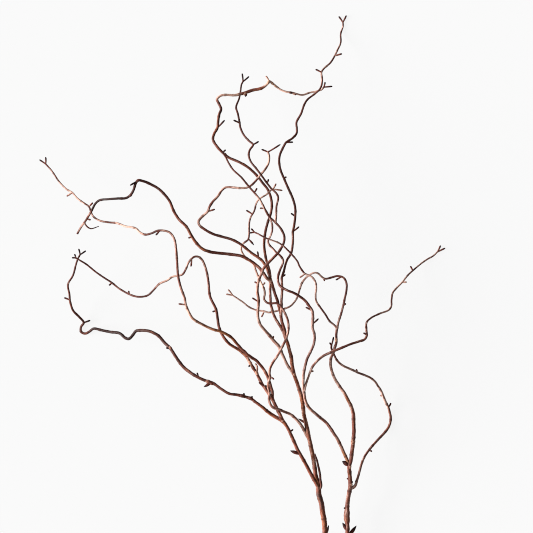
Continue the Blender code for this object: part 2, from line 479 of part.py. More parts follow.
def with_radii(route, branch):
    """Return the route's points as x, y, height and radius, with a collar at the root."""
    along = distances(route)
    rings = []
    for point, distance in zip(route, along):
        radius = between_stops(branch.girth, distance / along[-1]) / 2
        if branch.parent:
            radius *= 1 + COLLAR_SWELL * math.exp(-distance / COLLAR_REACH)
        rings.append(Vector((point.x, point.y, point.z, radius)))
    return rings


def needed_rings(rings):
    """Keep the rings that hold the route and its radii to FLATNESS, at most LONGEST_RUN apart."""
    first, last = rings[0], rings[-1]
    chord = last - first
    worst, middle = 0.0, 0
    for index, ring in enumerate(rings[1:-1], start=1):
        share = min(1.0, max(0.0, (ring - first).dot(chord) / chord.length_squared))
        gap = (ring - first - share * chord).length
        if gap > worst:
            worst, middle = gap, index
    if worst <= FLATNESS and chord.length > LONGEST_RUN and len(rings) > 2:
        middle = len(rings) // 2
    elif worst <= FLATNESS:
        return [first, last]
    return needed_rings(rings[: middle + 1])[:-1] + needed_rings(rings[middle:])


def tube(name, rings):
    """Return a mesh object: a six-sided closed tube through (x, y, height, radius) rings."""
    curve = bpy.data.curves.new(name, "CURVE")
    curve.dimensions = "3D"
    curve.twist_mode = "Z_UP"
    curve.bevel_depth = MM
    curve.bevel_resolution = TUBE_RESOLUTION
    curve.use_fill_caps = True
    spline = curve.splines.new("POLY")
    spline.points.add(len(rings) - 1)
    for point, ring in zip(spline.points, rings):
        x, y, height, radius = ring
        point.co = ((x - MIDDLE[0]) * MM, (y - MIDDLE[1]) * MM, height * MM, 1.0)
        point.radius = radius
    holder = bpy.data.objects.new(name, curve)
    bpy.context.scene.collection.objects.link(holder)
    shape = holder.evaluated_get(bpy.context.evaluated_depsgraph_get())
    mesh = bpy.data.meshes.new_from_object(shape)
    bpy.data.objects.remove(holder)
    bpy.data.curves.remove(curve)
    mesh.name = name
    for vertex in mesh.vertices:
        vertex.co.z = max(vertex.co.z, 0.0)
    piece = bpy.data.objects.new(name, mesh)
    bpy.context.scene.collection.objects.link(piece)
    return piece


def bud(name, route, place, rise):
    """Return a bud or knob on the branch: a short pointed tube from the route to its tip."""
    root_x, root_y, tip_x, tip_y, *plump = place
    girth = plump[0] if plump else BUD_GIRTH
    root = min(route, key=lambda point: (point.xy - Vector((root_x, root_y))).length)
    tip = Vector((tip_x, tip_y, max(root.z + rise, BUD_LOWEST)))
    rings = []
    for share, form in BUD_FORM:
        rings.append(Vector((*root.lerp(tip, share), form * girth / 2)))
    return tube(name, rings)


def tip_arm(name, route, end):
    """Return one arm of a forked tip, from inside the branch's end to the arm's own end."""
    along = (route[-1] - route[-3]).normalized()
    start = route[-1] - along * TIP_SUNK
    return tube(name, [Vector((*start, TIP_GIRTH / 2)), Vector((*end, route[-1].z, TIP_END_GIRTH / 2))])


def stem_pieces(node, branches):
    """Return every tube of one stem, the stem itself first."""
    routes = {}
    pieces = []
    for number, (name, branch) in enumerate(branches.items()):
        waypoints = [Vector(point) for point in branch.route]
        if branch.parent:
            nearest = min(routes[branch.parent], key=lambda point: (point - waypoints[0]).length)
            waypoints[0] = nearest
        routes[name] = route = curl(smooth_route(waypoints), phase=number)
        pieces.append(tube(f"{node} {name}", needed_rings(with_radii(route, branch))))
        for count, place in enumerate(branch.buds):
            rise = BUD_RISE * (-1) ** count
            pieces.append(bud(f"{node} {name} bud {count}", route, place, rise))
        for count, end in enumerate(branch.fork):
            pieces.append(tip_arm(f"{node} {name} tip {count}", route, end))
    return pieces


def join(node, pieces):
    """Unite the pieces into one solid named after its node."""
    stem, others = pieces[0], pieces[1:]
    stem.name = node
    group = bpy.data.collections.new(f"{node} pieces")
    for piece in others:
        group.objects.link(piece)
    union = stem.modifiers.new("union", "BOOLEAN")
    union.operation = "UNION"
    union.operand_type = "COLLECTION"
    union.collection = group
    union.solver = "EXACT"
    shape = stem.evaluated_get(bpy.context.evaluated_depsgraph_get())
    mesh = bpy.data.meshes.new_from_object(shape)
    stem.modifiers.clear()
    stem.data = mesh
    mesh.name = node
    for piece in others:
        bpy.data.objects.remove(piece)
    bpy.data.collections.remove(group)
    return stem


def bark(name, colour):
    """Return a dull, slightly waxy bark."""
    material = bpy.data.materials.new(name)
    material.use_nodes = True
    shader = material.node_tree.nodes["Principled BSDF"]
    shader.inputs["Base Color"].default_value = (*colour, 1.0)
    shader.inputs["Roughness"].default_value = BARK_ROUGHNESS
    shader.inputs["Metallic"].default_value = 0.0
    material.diffuse_color = (*colour, 1.0)
    return material


def make_stem(node, branches, colour):
    """Build one stem with its bark, smooth except at its cut end and its forks."""
    stem = join(node, stem_pieces(node, branches))
    stem.data.materials.clear()
    stem.data.materials.append(bark(f"{node} bark", colour))
    stem.data.shade_smooth()
    stem.data.set_sharp_from_angle(angle=SHARP_EDGE)
    return stem


def main():
    """Clear the scene and build both stems."""
    for leftover in list(bpy.data.objects):
        bpy.data.objects.remove(leftover)
    make_stem("left_stem", LEFT_STEM, BARK_LEFT)
    make_stem("right_stem", RIGHT_STEM, BARK_RIGHT)


main()
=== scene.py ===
"""Two cut willow stems that lie together as a loose bunch, with their bark, buds and cut ends.
"""

import json
import logging
import math
import random
from dataclasses import dataclass
from enum import Enum
from typing import Iterator, Sequence, Union

import bmesh
import bpy
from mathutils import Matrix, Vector

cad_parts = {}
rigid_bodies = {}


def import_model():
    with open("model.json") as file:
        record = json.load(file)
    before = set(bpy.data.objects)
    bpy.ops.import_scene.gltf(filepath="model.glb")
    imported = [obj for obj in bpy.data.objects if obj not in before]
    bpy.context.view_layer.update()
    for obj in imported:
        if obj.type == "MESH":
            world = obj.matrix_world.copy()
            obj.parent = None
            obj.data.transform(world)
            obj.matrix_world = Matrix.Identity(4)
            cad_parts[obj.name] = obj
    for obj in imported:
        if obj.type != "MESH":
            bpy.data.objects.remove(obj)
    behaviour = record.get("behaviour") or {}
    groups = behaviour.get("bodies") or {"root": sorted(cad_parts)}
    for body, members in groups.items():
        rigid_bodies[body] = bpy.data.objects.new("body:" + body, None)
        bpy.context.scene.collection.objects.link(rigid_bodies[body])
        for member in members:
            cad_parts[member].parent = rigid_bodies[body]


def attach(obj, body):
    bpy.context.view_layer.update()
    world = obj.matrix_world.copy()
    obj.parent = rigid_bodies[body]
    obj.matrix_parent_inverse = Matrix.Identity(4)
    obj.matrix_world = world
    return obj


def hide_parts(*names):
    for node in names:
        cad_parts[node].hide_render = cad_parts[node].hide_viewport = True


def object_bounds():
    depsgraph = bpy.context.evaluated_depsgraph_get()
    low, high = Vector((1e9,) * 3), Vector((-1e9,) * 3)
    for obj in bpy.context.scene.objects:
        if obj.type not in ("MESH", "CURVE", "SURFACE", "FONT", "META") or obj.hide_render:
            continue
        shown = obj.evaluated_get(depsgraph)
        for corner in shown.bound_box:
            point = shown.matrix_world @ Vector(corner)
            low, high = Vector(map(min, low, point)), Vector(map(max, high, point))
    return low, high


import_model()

CAD_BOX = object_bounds()
LOG = logging.getLogger("willow")

Point = tuple[float, float, float]
Stops = tuple[tuple[float, float], ...]
Colour = tuple[float, float, float]
Edge = tuple[float, float]
Feed = Union["Number", bpy.types.NodeSocket, float, int, str, bool, tuple, bpy.types.ID]

MM = 0.001
MIDDLE = (-86.05, 472.75)
SAMPLE = 1.5
SHARP_EDGE = math.radians(55)
WHITE = (1.0, 1.0, 1.0, 1.0)


@dataclass(frozen=True)
class Branch:
    """One branch, in millimetres.

    route is (x, y, height) from root to tip, girth holds (share of the length, diameter), fork
    the ends of a forked tip, and each bud is (root x, root y, tip x, tip y) and, where it is
    plump, its girth. tone holds (share of the length, value there), from -2 for the darkest over
    0 to 1 and more for the palest; it is partly how pale or dark the bark itself is and partly
    painted shade and painted highlight, darker where a strand lies in shade and paler where it
    catches the light. grey and amber say how grey or how golden the bark is there. Each knob is
    (x, y, width, tone), with tone as on the branches.
    """

    parent: str
    girth: Stops
    route: tuple[Point, ...]
    fork: tuple[tuple[float, float], ...] = ()
    buds: tuple[tuple[float, ...], ...] = ()
    # partly how pale or dark the bark is, partly painted shade and painted highlight
    tone: Stops = ((0, 0.0), (1, 0.0))
    grey: Stops = ((0, 0.0), (1, 0.0))
    amber: Stops = ((0, 0.0), (1, 0.0))
    knobs: tuple[tuple[float, float, float, float], ...] = ()


LEFT_STEM = {
    "stem": Branch(
        parent="",
        girth=((0, 9.6), (0.13, 8.8), (0.35, 7.8), (0.49, 8.0), (0.56, 6.4), (0.8, 5.8), (1, 5.2)),
        tone=(
            (0, 0.0), (0.3, 0.15), (0.4, 0.15), (0.45, -0.15), (0.48, -0.25), (0.52, 0.1), (0.58, 0.4),
            (0.75, 0.4), (0.85, 0.3), (1, 0.3),
        ),
        grey=((0, 0), (0.43, 0), (0.46, 0.8), (0.49, 0.6), (0.52, 0), (1, 0)),
        amber=((0, 0.25), (0.42, 0.25), (0.45, 0), (0.55, 0), (0.62, 0.2), (1, 0.1)),
        knobs=((25.5, 240, 4.6, 1.2), (13, 315, 3.4, 0.8), (-9, 407, 4.4, 1.1)),
        route=(
            (62.5, 0, 4), (59.5, 30, 4), (53, 68, 7), (46, 118, 14), (38, 168, 24), (37, 184, 28),
            (34.5, 198.5, 31.5), (32.5, 213, 35.5), (28.5, 227, 40), (27.5, 243, 44), (24, 254, 46),
            (22, 269, 48.5), (19.5, 284, 51), (16.5, 299, 54), (14, 310.5, 56), (11.5, 323, 58),
            (9, 334.5, 60), (6, 347, 62), (4.5, 361, 64), (2, 374, 66), (-1.5, 386, 67.5),
            (-5, 396.5, 69), (-8.5, 406, 70), (-11.5, 420.5, 71.5), (-13, 433, 73), (-15.5, 442.5, 74),
            (-17.5, 450.5, 75), (-20, 458, 75.5), (-22, 463.5, 76),
        ),
        buds=(
            (40.5, 163.5, 43.5, 180.5, 3.4), (5.5, 331.5, -2.5, 340.5, 3.4),
        ),
    ),
    "low left": Branch(
        parent="stem",
        girth=(
            (0, 5.6), (0.08, 5.3), (0.17, 5.0), (0.2, 6.0), (0.22, 5.5), (0.25, 4.6), (0.275, 4.2),
            (0.284, 5.2), (0.292, 4.3), (0.302, 5.2), (0.32, 4.0), (0.38, 4.4), (0.45, 4.9), (0.6, 4.6),
            (0.7, 4.3), (0.78, 3.8), (1, 2.6),
        ),
        tone=(
            (0, 0.05), (0.1, 0.2), (0.2, 0.0), (0.35, -0.4), (0.42, -0.8), (0.5, -1.1),
            (0.6, -1.5), (0.64, -2.2), (0.745, -2.2), (0.765, 0.2), (0.8, -0.6), (0.85, 0.0),
            (0.95, 0.3), (1, -1.2),
        ),
        knobs=(
            (-28, 342, 5.4, 0.2), (-73.5, 371, 5.4, -0.6), (-86, 374.5, 5.6, -0.6), (-137, 396, 5.6, 0.35),
            (-133, 391.5, 4.6, 0.1), (-193.5, 446, 4.6, 0.5),
        ),
        route=(
            (27.5, 235.5, 42.5), (25, 242.5, 44), (19.5, 252, 47), (14, 262.5, 50), (9, 272, 52.5),
            (1.5, 285.5, 56), (-3.5, 294, 58), (-8, 304.5, 60.5), (-14, 318, 63.5), (-19, 328, 65.5),
            (-25.5, 336.5, 67), (-38, 344, 69), (-47.5, 350.5, 71), (-57, 358.5, 72),
            (-66.5, 365.5, 73), (-72.5, 370, 73.5), (-82, 373.5, 74), (-95.5, 376.5, 74),
            (-105.5, 378, 74), (-117, 384.5, 73), (-130.5, 394, 72), (-140, 397, 70),
            (-149.5, 401, 68), (-161, 407.5, 66), (-174.5, 418, 62), (-186, 433.5, 58),
            (-193.5, 445, 55), (-203, 454.5, 51.5), (-212.5, 465, 48), (-226, 471.5, 43),
            (-237.5, 472.5, 38), (-245.5, 471.5, 34.5), (-250, 466, 32), (-256, 460, 30),
            (-261.5, 461, 27), (-270, 468, 23), (-283.5, 470, 17), (-297, 472.5, 11.5),
            (-309.5, 475, 6), (-316, 470.5, 2.6), (-322.5, 467.5, 1.3), (-328.5, 470.5, 1.2),
            (-328.5, 477.5, 1.3), (-324.5, 484, 3.4), (-331.5, 493, 9), (-340, 502, 16),
            (-344.5, 515.5, 24), (-345.5, 527, 31), (-347.5, 541.5, 36), (-340, 555, 40),
            (-336, 569.5, 42), (-333, 579, 42), (-328.5, 587.5, 41),
        ),
        fork=((-331.5, 595), (-320.5, 592)),
        buds=(
            (-1, 286, -14.5, 292.5, 5), (-14.5, 320.5, -10, 324.5), (-72.5, 370, -71.5, 374.5),
            (-83, 374.5, -84, 379), (-132.5, 393.5, -144, 388, 4.2), (-134.5, 395, -141, 390.5, 3.4),
            (-152, 401.5, -154, 409.5), (-193.5, 445, -200.5, 446.5), (-324.5, 484, -314.5, 487.5),
            (-345, 517.5, -353.5, 521.5),
        ),
    ),
    "mid left": Branch(
        parent="low left",
        girth=(
            (0, 5.2), (0.06, 5.2), (0.1, 4.7), (0.2, 4.5), (0.4, 4.0), (0.6, 3.1), (0.75, 3.1),
            (1, 2.5),
        ),
        tone=(
            (0, 0.25), (0.13, 0.5), (0.17, 0.1), (0.22, -0.2), (0.36, -0.4), (0.5, 0.6),
            (0.58, 0.7), (0.62, 0.2), (0.665, 1.6), (0.71, 0.2), (0.77, -1.3), (0.82, 0.5),
            (0.87, -0.2), (0.95, -0.7), (1, -0.7),
        ),
        knobs=(
            (-44.5, 375, 4.6, 0.6), (-52, 387, 4.8, 0.4), (-64.5, 409, 5, 0.8), (-74.5, 423, 5.4, 0.7),
            (-78.5, 429.5, 4.8, 0.6),
        ),
        route=(
            (-25.5, 337, 67), (-28, 342.5, 68), (-30, 347, 68.5), (-32.5, 352, 69), (-35.5, 358, 69.5),
            (-38, 363, 70), (-41, 369.5, 70), (-44, 374, 70), (-47, 378.5, 70), (-50, 383, 70),
            (-53.5, 388, 70), (-56.5, 392.5, 70.5), (-59, 397, 70.5), (-61, 401, 70.5),
            (-63.5, 406, 71), (-66, 410.5, 71), (-69, 415, 71), (-72, 420, 71), (-75, 425, 71),
            (-77.5, 430, 71), (-80, 433.5, 71), (-85, 438.5, 71), (-92, 444, 71.5), (-105.5, 452.5, 72),
            (-115, 464, 73), (-121, 477.5, 73.5), (-123, 489.5, 74), (-125.5, 504, 76),
            (-134.5, 524, 79), (-137, 547, 83), (-141, 566, 86), (-146.5, 578.5, 88), (-152.5, 583, 89),
            (-158.5, 582.5, 89), (-166, 575, 89), (-170.5, 564.5, 88), (-175.5, 556.5, 87.5),
            (-182, 554.5, 87), (-190.5, 553, 85.5), (-198.5, 547.5, 83.5), (-210, 542.5, 80),
            (-219.5, 532.5, 76), (-227, 525.5, 72), (-236.5, 523, 68), (-246, 523.5, 64),
            (-256, 527, 60), (-271, 535.5, 56), (-281.5, 544, 53), (-294, 552, 52), (-307.5, 561.5, 52),
            (-319, 571, 53), (-328.5, 577, 54), (-337, 582, 54),
        ),
        fork=((-341.5, 581.5), (-337.5, 587)),
        buds=(
            (-53, 385.5, -61.5, 395), (-51, 384.5, -51, 391), (-74, 424, -76.5, 418),
            (-124.5, 503, -131, 500.5), (-161, 579, -163, 568), (-281.5, 544, -286, 540),
            (-256, 527, -256.5, 532),
        ),
    ),
    "inner spur": Branch(
        parent="mid left",
        girth=((0, 3.2), (0.6, 3.2), (1, 2.2)),
        tone=((0, 0.7), (1, 0.9)),
        route=((-65, 409.5, 71), (-64, 415.5, 72), (-64.5, 419.5, 73), (-66.5, 423, 74)),
    ),
    "upper left": Branch(
        parent="mid left",
        girth=((0, 4.4), (0.2, 4.4), (0.3, 4.1), (0.5, 3.6), (0.75, 3.0), (1, 2.5)),
        tone=(
            (0, 0.2), (0.13, 0.3), (0.17, -0.6), (0.28, 0.5), (0.325, 1.4), (0.45, 0.15),
            (0.53, 0.5), (0.59, 0.5), (0.61, -1.2), (0.64, -0.9), (0.66, 1.9), (0.72, 0.5),
            (0.82, 0.6), (0.87, 1.0), (0.93, 1.0), (1, 0.0),
        ),
        amber=((0, 0), (0.2, 0), (0.24, 0.8), (0.33, 0.5), (0.38, 0), (1, 0)),
        route=(
            (-39.5, 366, 70), (-41, 372, 70.5), (-41, 376.5, 71), (-41.5, 382, 71.5), (-43, 387, 72),
            (-44.5, 392.5, 73), (-46.5, 398.5, 73.5), (-49, 405, 74.5), (-51.5, 410, 75.5),
            (-54.5, 415, 76), (-58, 419.5, 77), (-61, 423, 78), (-64, 426.5, 79), (-68, 429.5, 79.5),
            (-71.5, 431.5, 80), (-74.5, 434, 81), (-78.5, 436.5, 82), (-82, 440.5, 83.5),
            (-86.5, 444, 85), (-94, 452.5, 87), (-103.5, 463, 90), (-117, 470.5, 92), (-130.5, 474.5, 95),
            (-146.5, 482, 98), (-160, 490.5, 101), (-167.5, 503, 104), (-170.5, 511, 106),
            (-172.5, 522, 108), (-177.5, 535.5, 110), (-182, 554.5, 112), (-183.5, 575.5, 113),
            (-185, 595, 112), (-188, 610, 110), (-194.5, 619, 107), (-204, 622, 104), (-213.5, 621.5, 101),
            (-221.5, 618, 98), (-231, 616, 95), (-238.5, 619, 92), (-246, 625.5, 88.5),
            (-261.5, 628.5, 82), (-273, 633, 77), (-286.5, 634.5, 71), (-299.5, 637, 66),
            (-309.5, 643.5, 62), (-313, 650.5, 60), (-316, 658, 58), (-323, 663, 56), (-333.5, 670.5, 52),
            (-341, 679, 49), (-349.5, 684, 46), (-360, 694.5, 43), (-372.5, 712.5, 39), (-382, 723, 36),
        ),
        fork=((-390.5, 728.5), (-381, 732.5)),
        buds=(
            (-170.5, 511, -181.5, 512.5), (-210, 622, -215.5, 615), (-316, 658, -310, 664),
            (-341, 678.5, -349.5, 673.5),
        ),
    ),
    "crown": Branch(
        parent="stem",
        girth=(
            (0, 4.4), (0.15, 3.9), (0.25, 4.0), (0.35, 3.8), (0.5, 4.0), (0.68, 4.1), (0.73, 3.6),
            (0.77, 4.8), (0.81, 4.8), (0.85, 3.1), (1, 2.6),
        ),
        tone=(
            (0, 0.3), (0.15, 0.65), (0.23, -0.3), (0.35, 0.05), (0.5, -0.4), (0.64, -0.2),
            (0.66, -1.4), (0.69, -0.8), (0.705, 1.5), (0.755, 1.5), (0.77, -0.7), (0.8, 0.0),
            (0.822, 0.4), (0.835, 0.9), (0.85, 1.5), (0.9, 1.5), (0.925, 0.9), (0.94, 1.6), (0.99, 1.3),
            (1, -0.1),
        ),
        knobs=(
            (-82.5, 827, 5, 1.1), (-47.5, 844, 4.8, 1.3), (-42, 842.5, 4.4, 1.2), (-37.5, 838, 3.4, 1.1),
            (-111.5, 736, 4.4, 0.2), (-14, 828.5, 3.8, -0.6),
        ),
        route=(
            (-21, 460, 75.5), (-23, 465, 76), (-24.5, 469.5, 76), (-28, 476.5, 76.5), (-32, 483, 76.5),
            (-36.5, 490.5, 77), (-40, 498.5, 77), (-42, 505.5, 77), (-43.5, 511.5, 77),
            (-44, 518.5, 76.5), (-44.5, 529.5, 75.5), (-44.5, 539.5, 74), (-44.5, 547.5, 73),
            (-44.5, 555, 71.5), (-45.5, 562, 70.5), (-47, 567.5, 70), (-49, 573.5, 69.5), (-51, 581.5, 69),
            (-53.5, 600, 69), (-52, 618, 69.5), (-48, 634.5, 70.5), (-43.5, 648, 72), (-42, 663, 73),
            (-47, 681.5, 75), (-55.5, 693, 76), (-65, 705, 76.5), (-78, 717, 76), (-92, 725, 74.5),
            (-107.5, 732, 73), (-117, 740, 72), (-124.5, 748.5, 70), (-130, 758, 68), (-128.5, 766.5, 65),
            (-123.5, 776, 62), (-122.5, 784, 60), (-121, 795.5, 56), (-118, 804, 54), (-121, 811.5, 52),
            (-124, 819, 50), (-119, 824, 48), (-111, 825.5, 46), (-98, 825, 44), (-84, 828, 43),
            (-71, 832.5, 42.5), (-57.5, 835.5, 42), (-50, 840.5, 42), (-46, 846, 42), (-38.5, 841, 41),
            (-29, 833.5, 40), (-19.5, 830, 38.5), (-11.5, 829, 37), (3.5, 825.5, 34.5), (15, 829, 32),
            (25, 831, 31), (32.5, 833.5, 30), (37, 838.5, 29),
        ),
        fork=((38, 845), (49, 838.5)),
        buds=(
            (-123.5, 776, -112.5, 787.5), (-46, 846, -51, 854), (-81.5, 830, -81.5, 822.5, 4.2),
            (-15, 829.5, -5.5, 825.5), (-116, 738.5, -111, 743),
        ),
    ),
    "crook": Branch(
        parent="stem",
        girth=((0, 4.8), (0.2, 4.4), (0.4, 4.1), (0.55, 3.9), (0.65, 3.8), (0.75, 3.4), (1, 3.2)),
        tone=(
            (0, 0.1), (0.12, 0.0), (0.18, 0.4), (0.32, -0.1), (0.37, 0.25), (0.42, -0.6),
            (0.5, -1.2), (0.57, 0.4), (0.63, 1.1), (0.67, -0.1), (0.71, 1.0), (0.77, 0.4),
            (0.82, 1.6), (0.87, 0.0), (0.92, 1.1), (1, 0.1),
        ),
        route=(
            (-21, 460, 75.5), (-22, 466, 76), (-22.5, 471, 76.5), (-24, 476.5, 77), (-26, 482.5, 78),
            (-27.5, 489, 79), (-28.5, 496, 80), (-29.5, 502, 81), (-32, 510.5, 82), (-34, 518.5, 83),
            (-37, 526.5, 84), (-39.5, 535, 85), (-41.5, 542, 86), (-44, 549.5, 86), (-46, 556, 86.5),
            (-48, 562.5, 86.5), (-50.5, 568, 86.5), (-53, 572, 87), (-57, 577.5, 87), (-63.5, 582.5, 87),
            (-73, 589, 87.5), (-82.5, 597, 88), (-90, 602.5, 88), (-101.5, 608.5, 88), (-115, 612.5, 88),
            (-130, 617, 87), (-142, 623.5, 86), (-150.5, 630.5, 85), (-151.5, 636, 84.5),
            (-145.5, 643.5, 84), (-138, 650.5, 84), (-135, 658, 84), (-130, 665.5, 84), (-122.5, 673.5, 84),
            (-117, 682, 84), (-111, 686.5, 84), (-99.5, 686.5, 84.5), (-88, 685.5, 85), (-78.5, 686.5, 85),
            (-73, 689.5, 85), (-65.5, 697, 85.5), (-59.5, 705, 86), (-52, 713.5, 86.5), (-47, 723, 87.5),
            (-46, 732.5, 88), (-48, 741, 89),
        ),
        fork=((-57.5, 743.5), (-29, 751)),
        buds=((-138, 650.5, -127, 654), (-62.5, 582, -63.5, 591)),
    ),
    "side": Branch(
        parent="crook",
        girth=(
            (0, 4.9), (0.1, 4.6), (0.3, 4.6), (0.5, 4.1), (0.68, 4.0), (0.8, 3.5), (0.9, 3.4), (1, 3.0),
        ),
        tone=(
            (0, 0.5), (0.12, 0.2), (0.17, -0.6), (0.25, -0.9), (0.37, 0.2), (0.47, 0.4),
            (0.52, -0.6), (0.57, -1.2), (0.7, -1.5), (0.8, -2.4), (0.89, -2.4), (0.905, 0.1),
            (0.95, 0.7), (1, -0.2),
        ),
        knobs=((-242, 697, 4.4, -0.4), (-253, 675, 4.2, -0.8)),
        route=(
            (-43, 546, 86), (-49, 550.5, 85.5), (-52.5, 555, 85.5), (-56, 560, 85), (-60.5, 566, 85),
            (-65.5, 570.5, 85), (-70, 574, 85), (-74.5, 577, 85), (-86.5, 583.5, 84.5), (-103.5, 586.5, 84),
            (-122.5, 588.5, 84), (-133.5, 590, 84), (-145.5, 594.5, 85), (-154.5, 603, 86),
            (-162, 614, 88), (-169.5, 627.5, 90), (-181, 639, 92), (-189, 652, 94), (-194.5, 665.5, 95),
            (-202, 675.5, 96), (-212, 685, 96), (-221.5, 690.5, 96), (-233, 695.5, 96), (-241.5, 697, 95.5),
            (-245.5, 692.5, 95), (-249, 682, 93.5), (-254, 674.5, 92), (-260.5, 670.5, 90), (-271, 670, 87),
            (-286.5, 669, 81), (-299.5, 667.5, 76), (-305.5, 663, 73), (-313, 649.5, 69),
            (-322, 635, 65), (-327.5, 627.5, 62), (-333.5, 617, 60),
        ),
        buds=((-241.5, 697, -254, 689.5), (-162, 612, -167, 611), (-319, 640, -313, 638)),
    ),
    "side twig": Branch(
        parent="side",
        girth=((0, 2.4), (0.5, 2.0), (1, 1.2)),
        tone=((0, 0.2), (0.4, -0.4), (1, -0.4)),
        route=((-322.5, 634, 65), (-318.5, 628, 64), (-313, 625, 63), (-301, 628.5, 62)),
    ),
    "loop": Branch(
        parent="stem",
        girth=(
            (0, 4.0), (0.07, 4.2), (0.12, 5.2), (0.17, 5.0), (0.22, 4.2), (0.35, 4.3), (0.5, 4.1),
            (0.6, 3.6), (0.75, 3.2), (1, 2.6),
        ),
        tone=(
            (0, 0.8), (0.08, 1.2), (0.13, 0.8), (0.25, 1.0), (0.33, 0.4), (0.44, 0.7),
            (0.5, 0.1), (0.6, -0.5), (0.66, -0.4), (0.77, 0.9), (0.82, 0.0), (0.92, -0.7),
            (1, -0.3),
        ),
        grey=((0, 0.8), (0.25, 0.7), (0.45, 0.1), (1, 0)),
        route=(
            (-8, 404.5, 69.5), (-13, 412, 71), (-19, 421.5, 72), (-23.5, 431, 74), (-27.5, 439.5, 75.5),
            (-31.5, 448.5, 77), (-39, 457, 79.5), (-46, 465.5, 82), (-53.5, 474, 84.5), (-59.5, 482, 87),
            (-62.5, 491.5, 88.5), (-63, 501, 90), (-62, 510.5, 91), (-62, 520, 92), (-63.5, 529.5, 93),
            (-63.5, 537.5, 94), (-62.5, 544, 94.5), (-60.5, 550.5, 95), (-57, 559, 96), (-54, 566, 96.5),
            (-48, 573, 97), (-38.5, 582.5, 97.5), (-31, 591, 98), (-24, 604.5, 98), (-23.5, 614, 97),
            (-29, 625.5, 96), (-37.5, 635, 95.5), (-46, 643, 96), (-53.5, 656, 97), (-59.5, 667.5, 98),
            (-65.5, 675.5, 98.5), (-73, 684, 98), (-78.5, 690.5, 97.5), (-88, 702, 96), (-99.5, 712.5, 94),
            (-106.5, 723, 91), (-112, 733.5, 88), (-116, 738.5, 87),
        ),
        buds=(
            (-63, 516, -71.5, 521.5), (-68, 679, -64, 685.5), (-41, 459, -39.5, 464.5),
            (-63, 543, -68, 545.5),
        ),
    ),
    "loop twig": Branch(
        parent="loop",
        girth=((0, 3.0), (0.4, 3.1), (0.6, 3.2), (0.8, 3.0), (1, 2.5)),
        tone=(
            (0, 0.4), (0.15, -0.1), (0.22, 0.1), (0.27, -0.1), (0.32, -0.8), (0.43, -1.0),
            (0.5, -0.3), (0.62, -1.2), (0.68, -0.4), (0.85, -0.6), (0.92, -1.3), (1, -1.0),
        ),
        route=(
            (-36, 634, 95.5), (-35.5, 644.5, 96), (-35, 658, 96), (-32.5, 671.5, 95.5), (-35.5, 678, 95),
            (-42.5, 684.5, 94.5), (-50, 694, 94), (-57.5, 704.5, 94), (-65.5, 715, 92), (-73, 724.5, 89),
            (-76.5, 734, 86), (-75, 742.5, 82), (-70, 750.5, 79), (-76, 756, 76), (-83.5, 764.5, 70),
            (-89, 776, 64), (-90.5, 785.5, 58), (-93, 797.5, 50), (-95.5, 807, 44), (-91, 820, 36),
            (-89, 830.5, 30), (-87.5, 841, 27), (-84.5, 847, 25),
        ),
        fork=((-86.5, 858), (-76, 853.5)),
        buds=((-90, 783, -99.5, 787.5), (-70, 750.5, -61.5, 755.5), (-49.5, 693, -47, 699)),
    ),
    "wanderer": Branch(
        parent="stem",
        girth=((0, 4.9), (0.06, 4.5), (0.15, 4.0), (0.4, 3.7), (0.55, 3.4), (0.7, 3.0), (1, 2.5)),
        tone=(
            (0, 0.6), (0.12, 0.9), (0.22, 0.3), (0.27, 0.6), (0.33, 0.4), (0.38, 0.8),
            (0.48, 0.5), (0.55, -0.1), (0.61, 1.4), (0.68, 0.8), (0.75, 1.4), (0.82, -0.1),
            (0.88, 0.2), (0.95, 1.1), (1, 1.1),
        ),
        route=(
            (13.5, 311, 56), (10.5, 315, 57), (7, 322, 59), (2, 330.5, 62), (-3.5, 337.5, 66),
            (-9.5, 343.5, 69.5), (-16, 348, 73), (-23.5, 351, 76.5), (-31, 354.5, 79), (-37.5, 356, 80),
            (-42, 359, 80.5), (-44.5, 363, 81), (-46, 368.5, 82), (-46, 373.5, 82.5), (-45.5, 378.5, 83),
            (-46.5, 384, 83.5), (-47.5, 389.5, 84), (-47, 394, 84.5), (-45.5, 399, 85), (-44.5, 403.5, 85.5),
            (-45.5, 408, 86), (-44.5, 416, 87), (-40, 425.5, 89), (-34, 434, 90.5), (-28.5, 444.5, 92.5),
            (-23.5, 454, 94), (-20, 462, 95), (-17.5, 471, 96), (-17, 479.5, 96), (-18, 487.5, 96),
            (-20.5, 494.5, 95.5), (-24.5, 502.5, 95), (-28, 508, 94.5), (-31.5, 511.5, 94), (-36, 513.5, 94),
            (-44, 513, 93), (-49.5, 514.5, 92.5), (-53.5, 519.5, 92), (-52.5, 527.5, 90.5),
            (-53.5, 534.5, 88.5), (-57, 541.5, 86), (-60.5, 549, 83), (-64, 557, 80), (-67, 565.5, 78),
            (-70, 572.5, 76.5), (-75.5, 578, 75.5), (-82.5, 583.5, 75), (-87.5, 592, 75.5), (-87, 600, 76.5),
            (-82.5, 604.5, 77.5), (-77.5, 608.5, 79), (-76, 618, 81), (-76, 631, 83), (-74, 641, 84),
            (-71, 646.5, 85), (-68, 652, 86), (-65.5, 662, 86.5), (-61.5, 668.5, 86.5), (-50, 676, 86.5),
            (-42.5, 683, 86.5), (-39, 684.5, 86.5),
        ),
        fork=((-35.5, 692.5), (-26, 682)),
        buds=(
            (-44.5, 404, -38.5, 399.5), (-71, 646.5, -80.5, 652.5), (-77, 609, -68.5, 600, 3),
            (-56.5, 540, -52, 544.5),
        ),
    ),
    "tall": Branch(
        parent="crook",
        girth=((0, 4.1), (0.08, 3.8), (0.15, 3.5), (0.3, 3.7), (0.55, 3.5), (0.75, 2.9), (1, 2.5)),
        tone=(
            (0, 0.4), (0.12, 0.5), (0.2, 0.0), (0.27, 0.2), (0.31, -0.9), (0.42, -0.3),
            (0.47, -0.7), (0.52, -0.4), (0.57, -0.7), (0.65, -0.4), (0.72, -0.6), (0.8, 0.1),
            (0.87, 0.55), (0.95, 0.5), (1, 0.1),
        ),
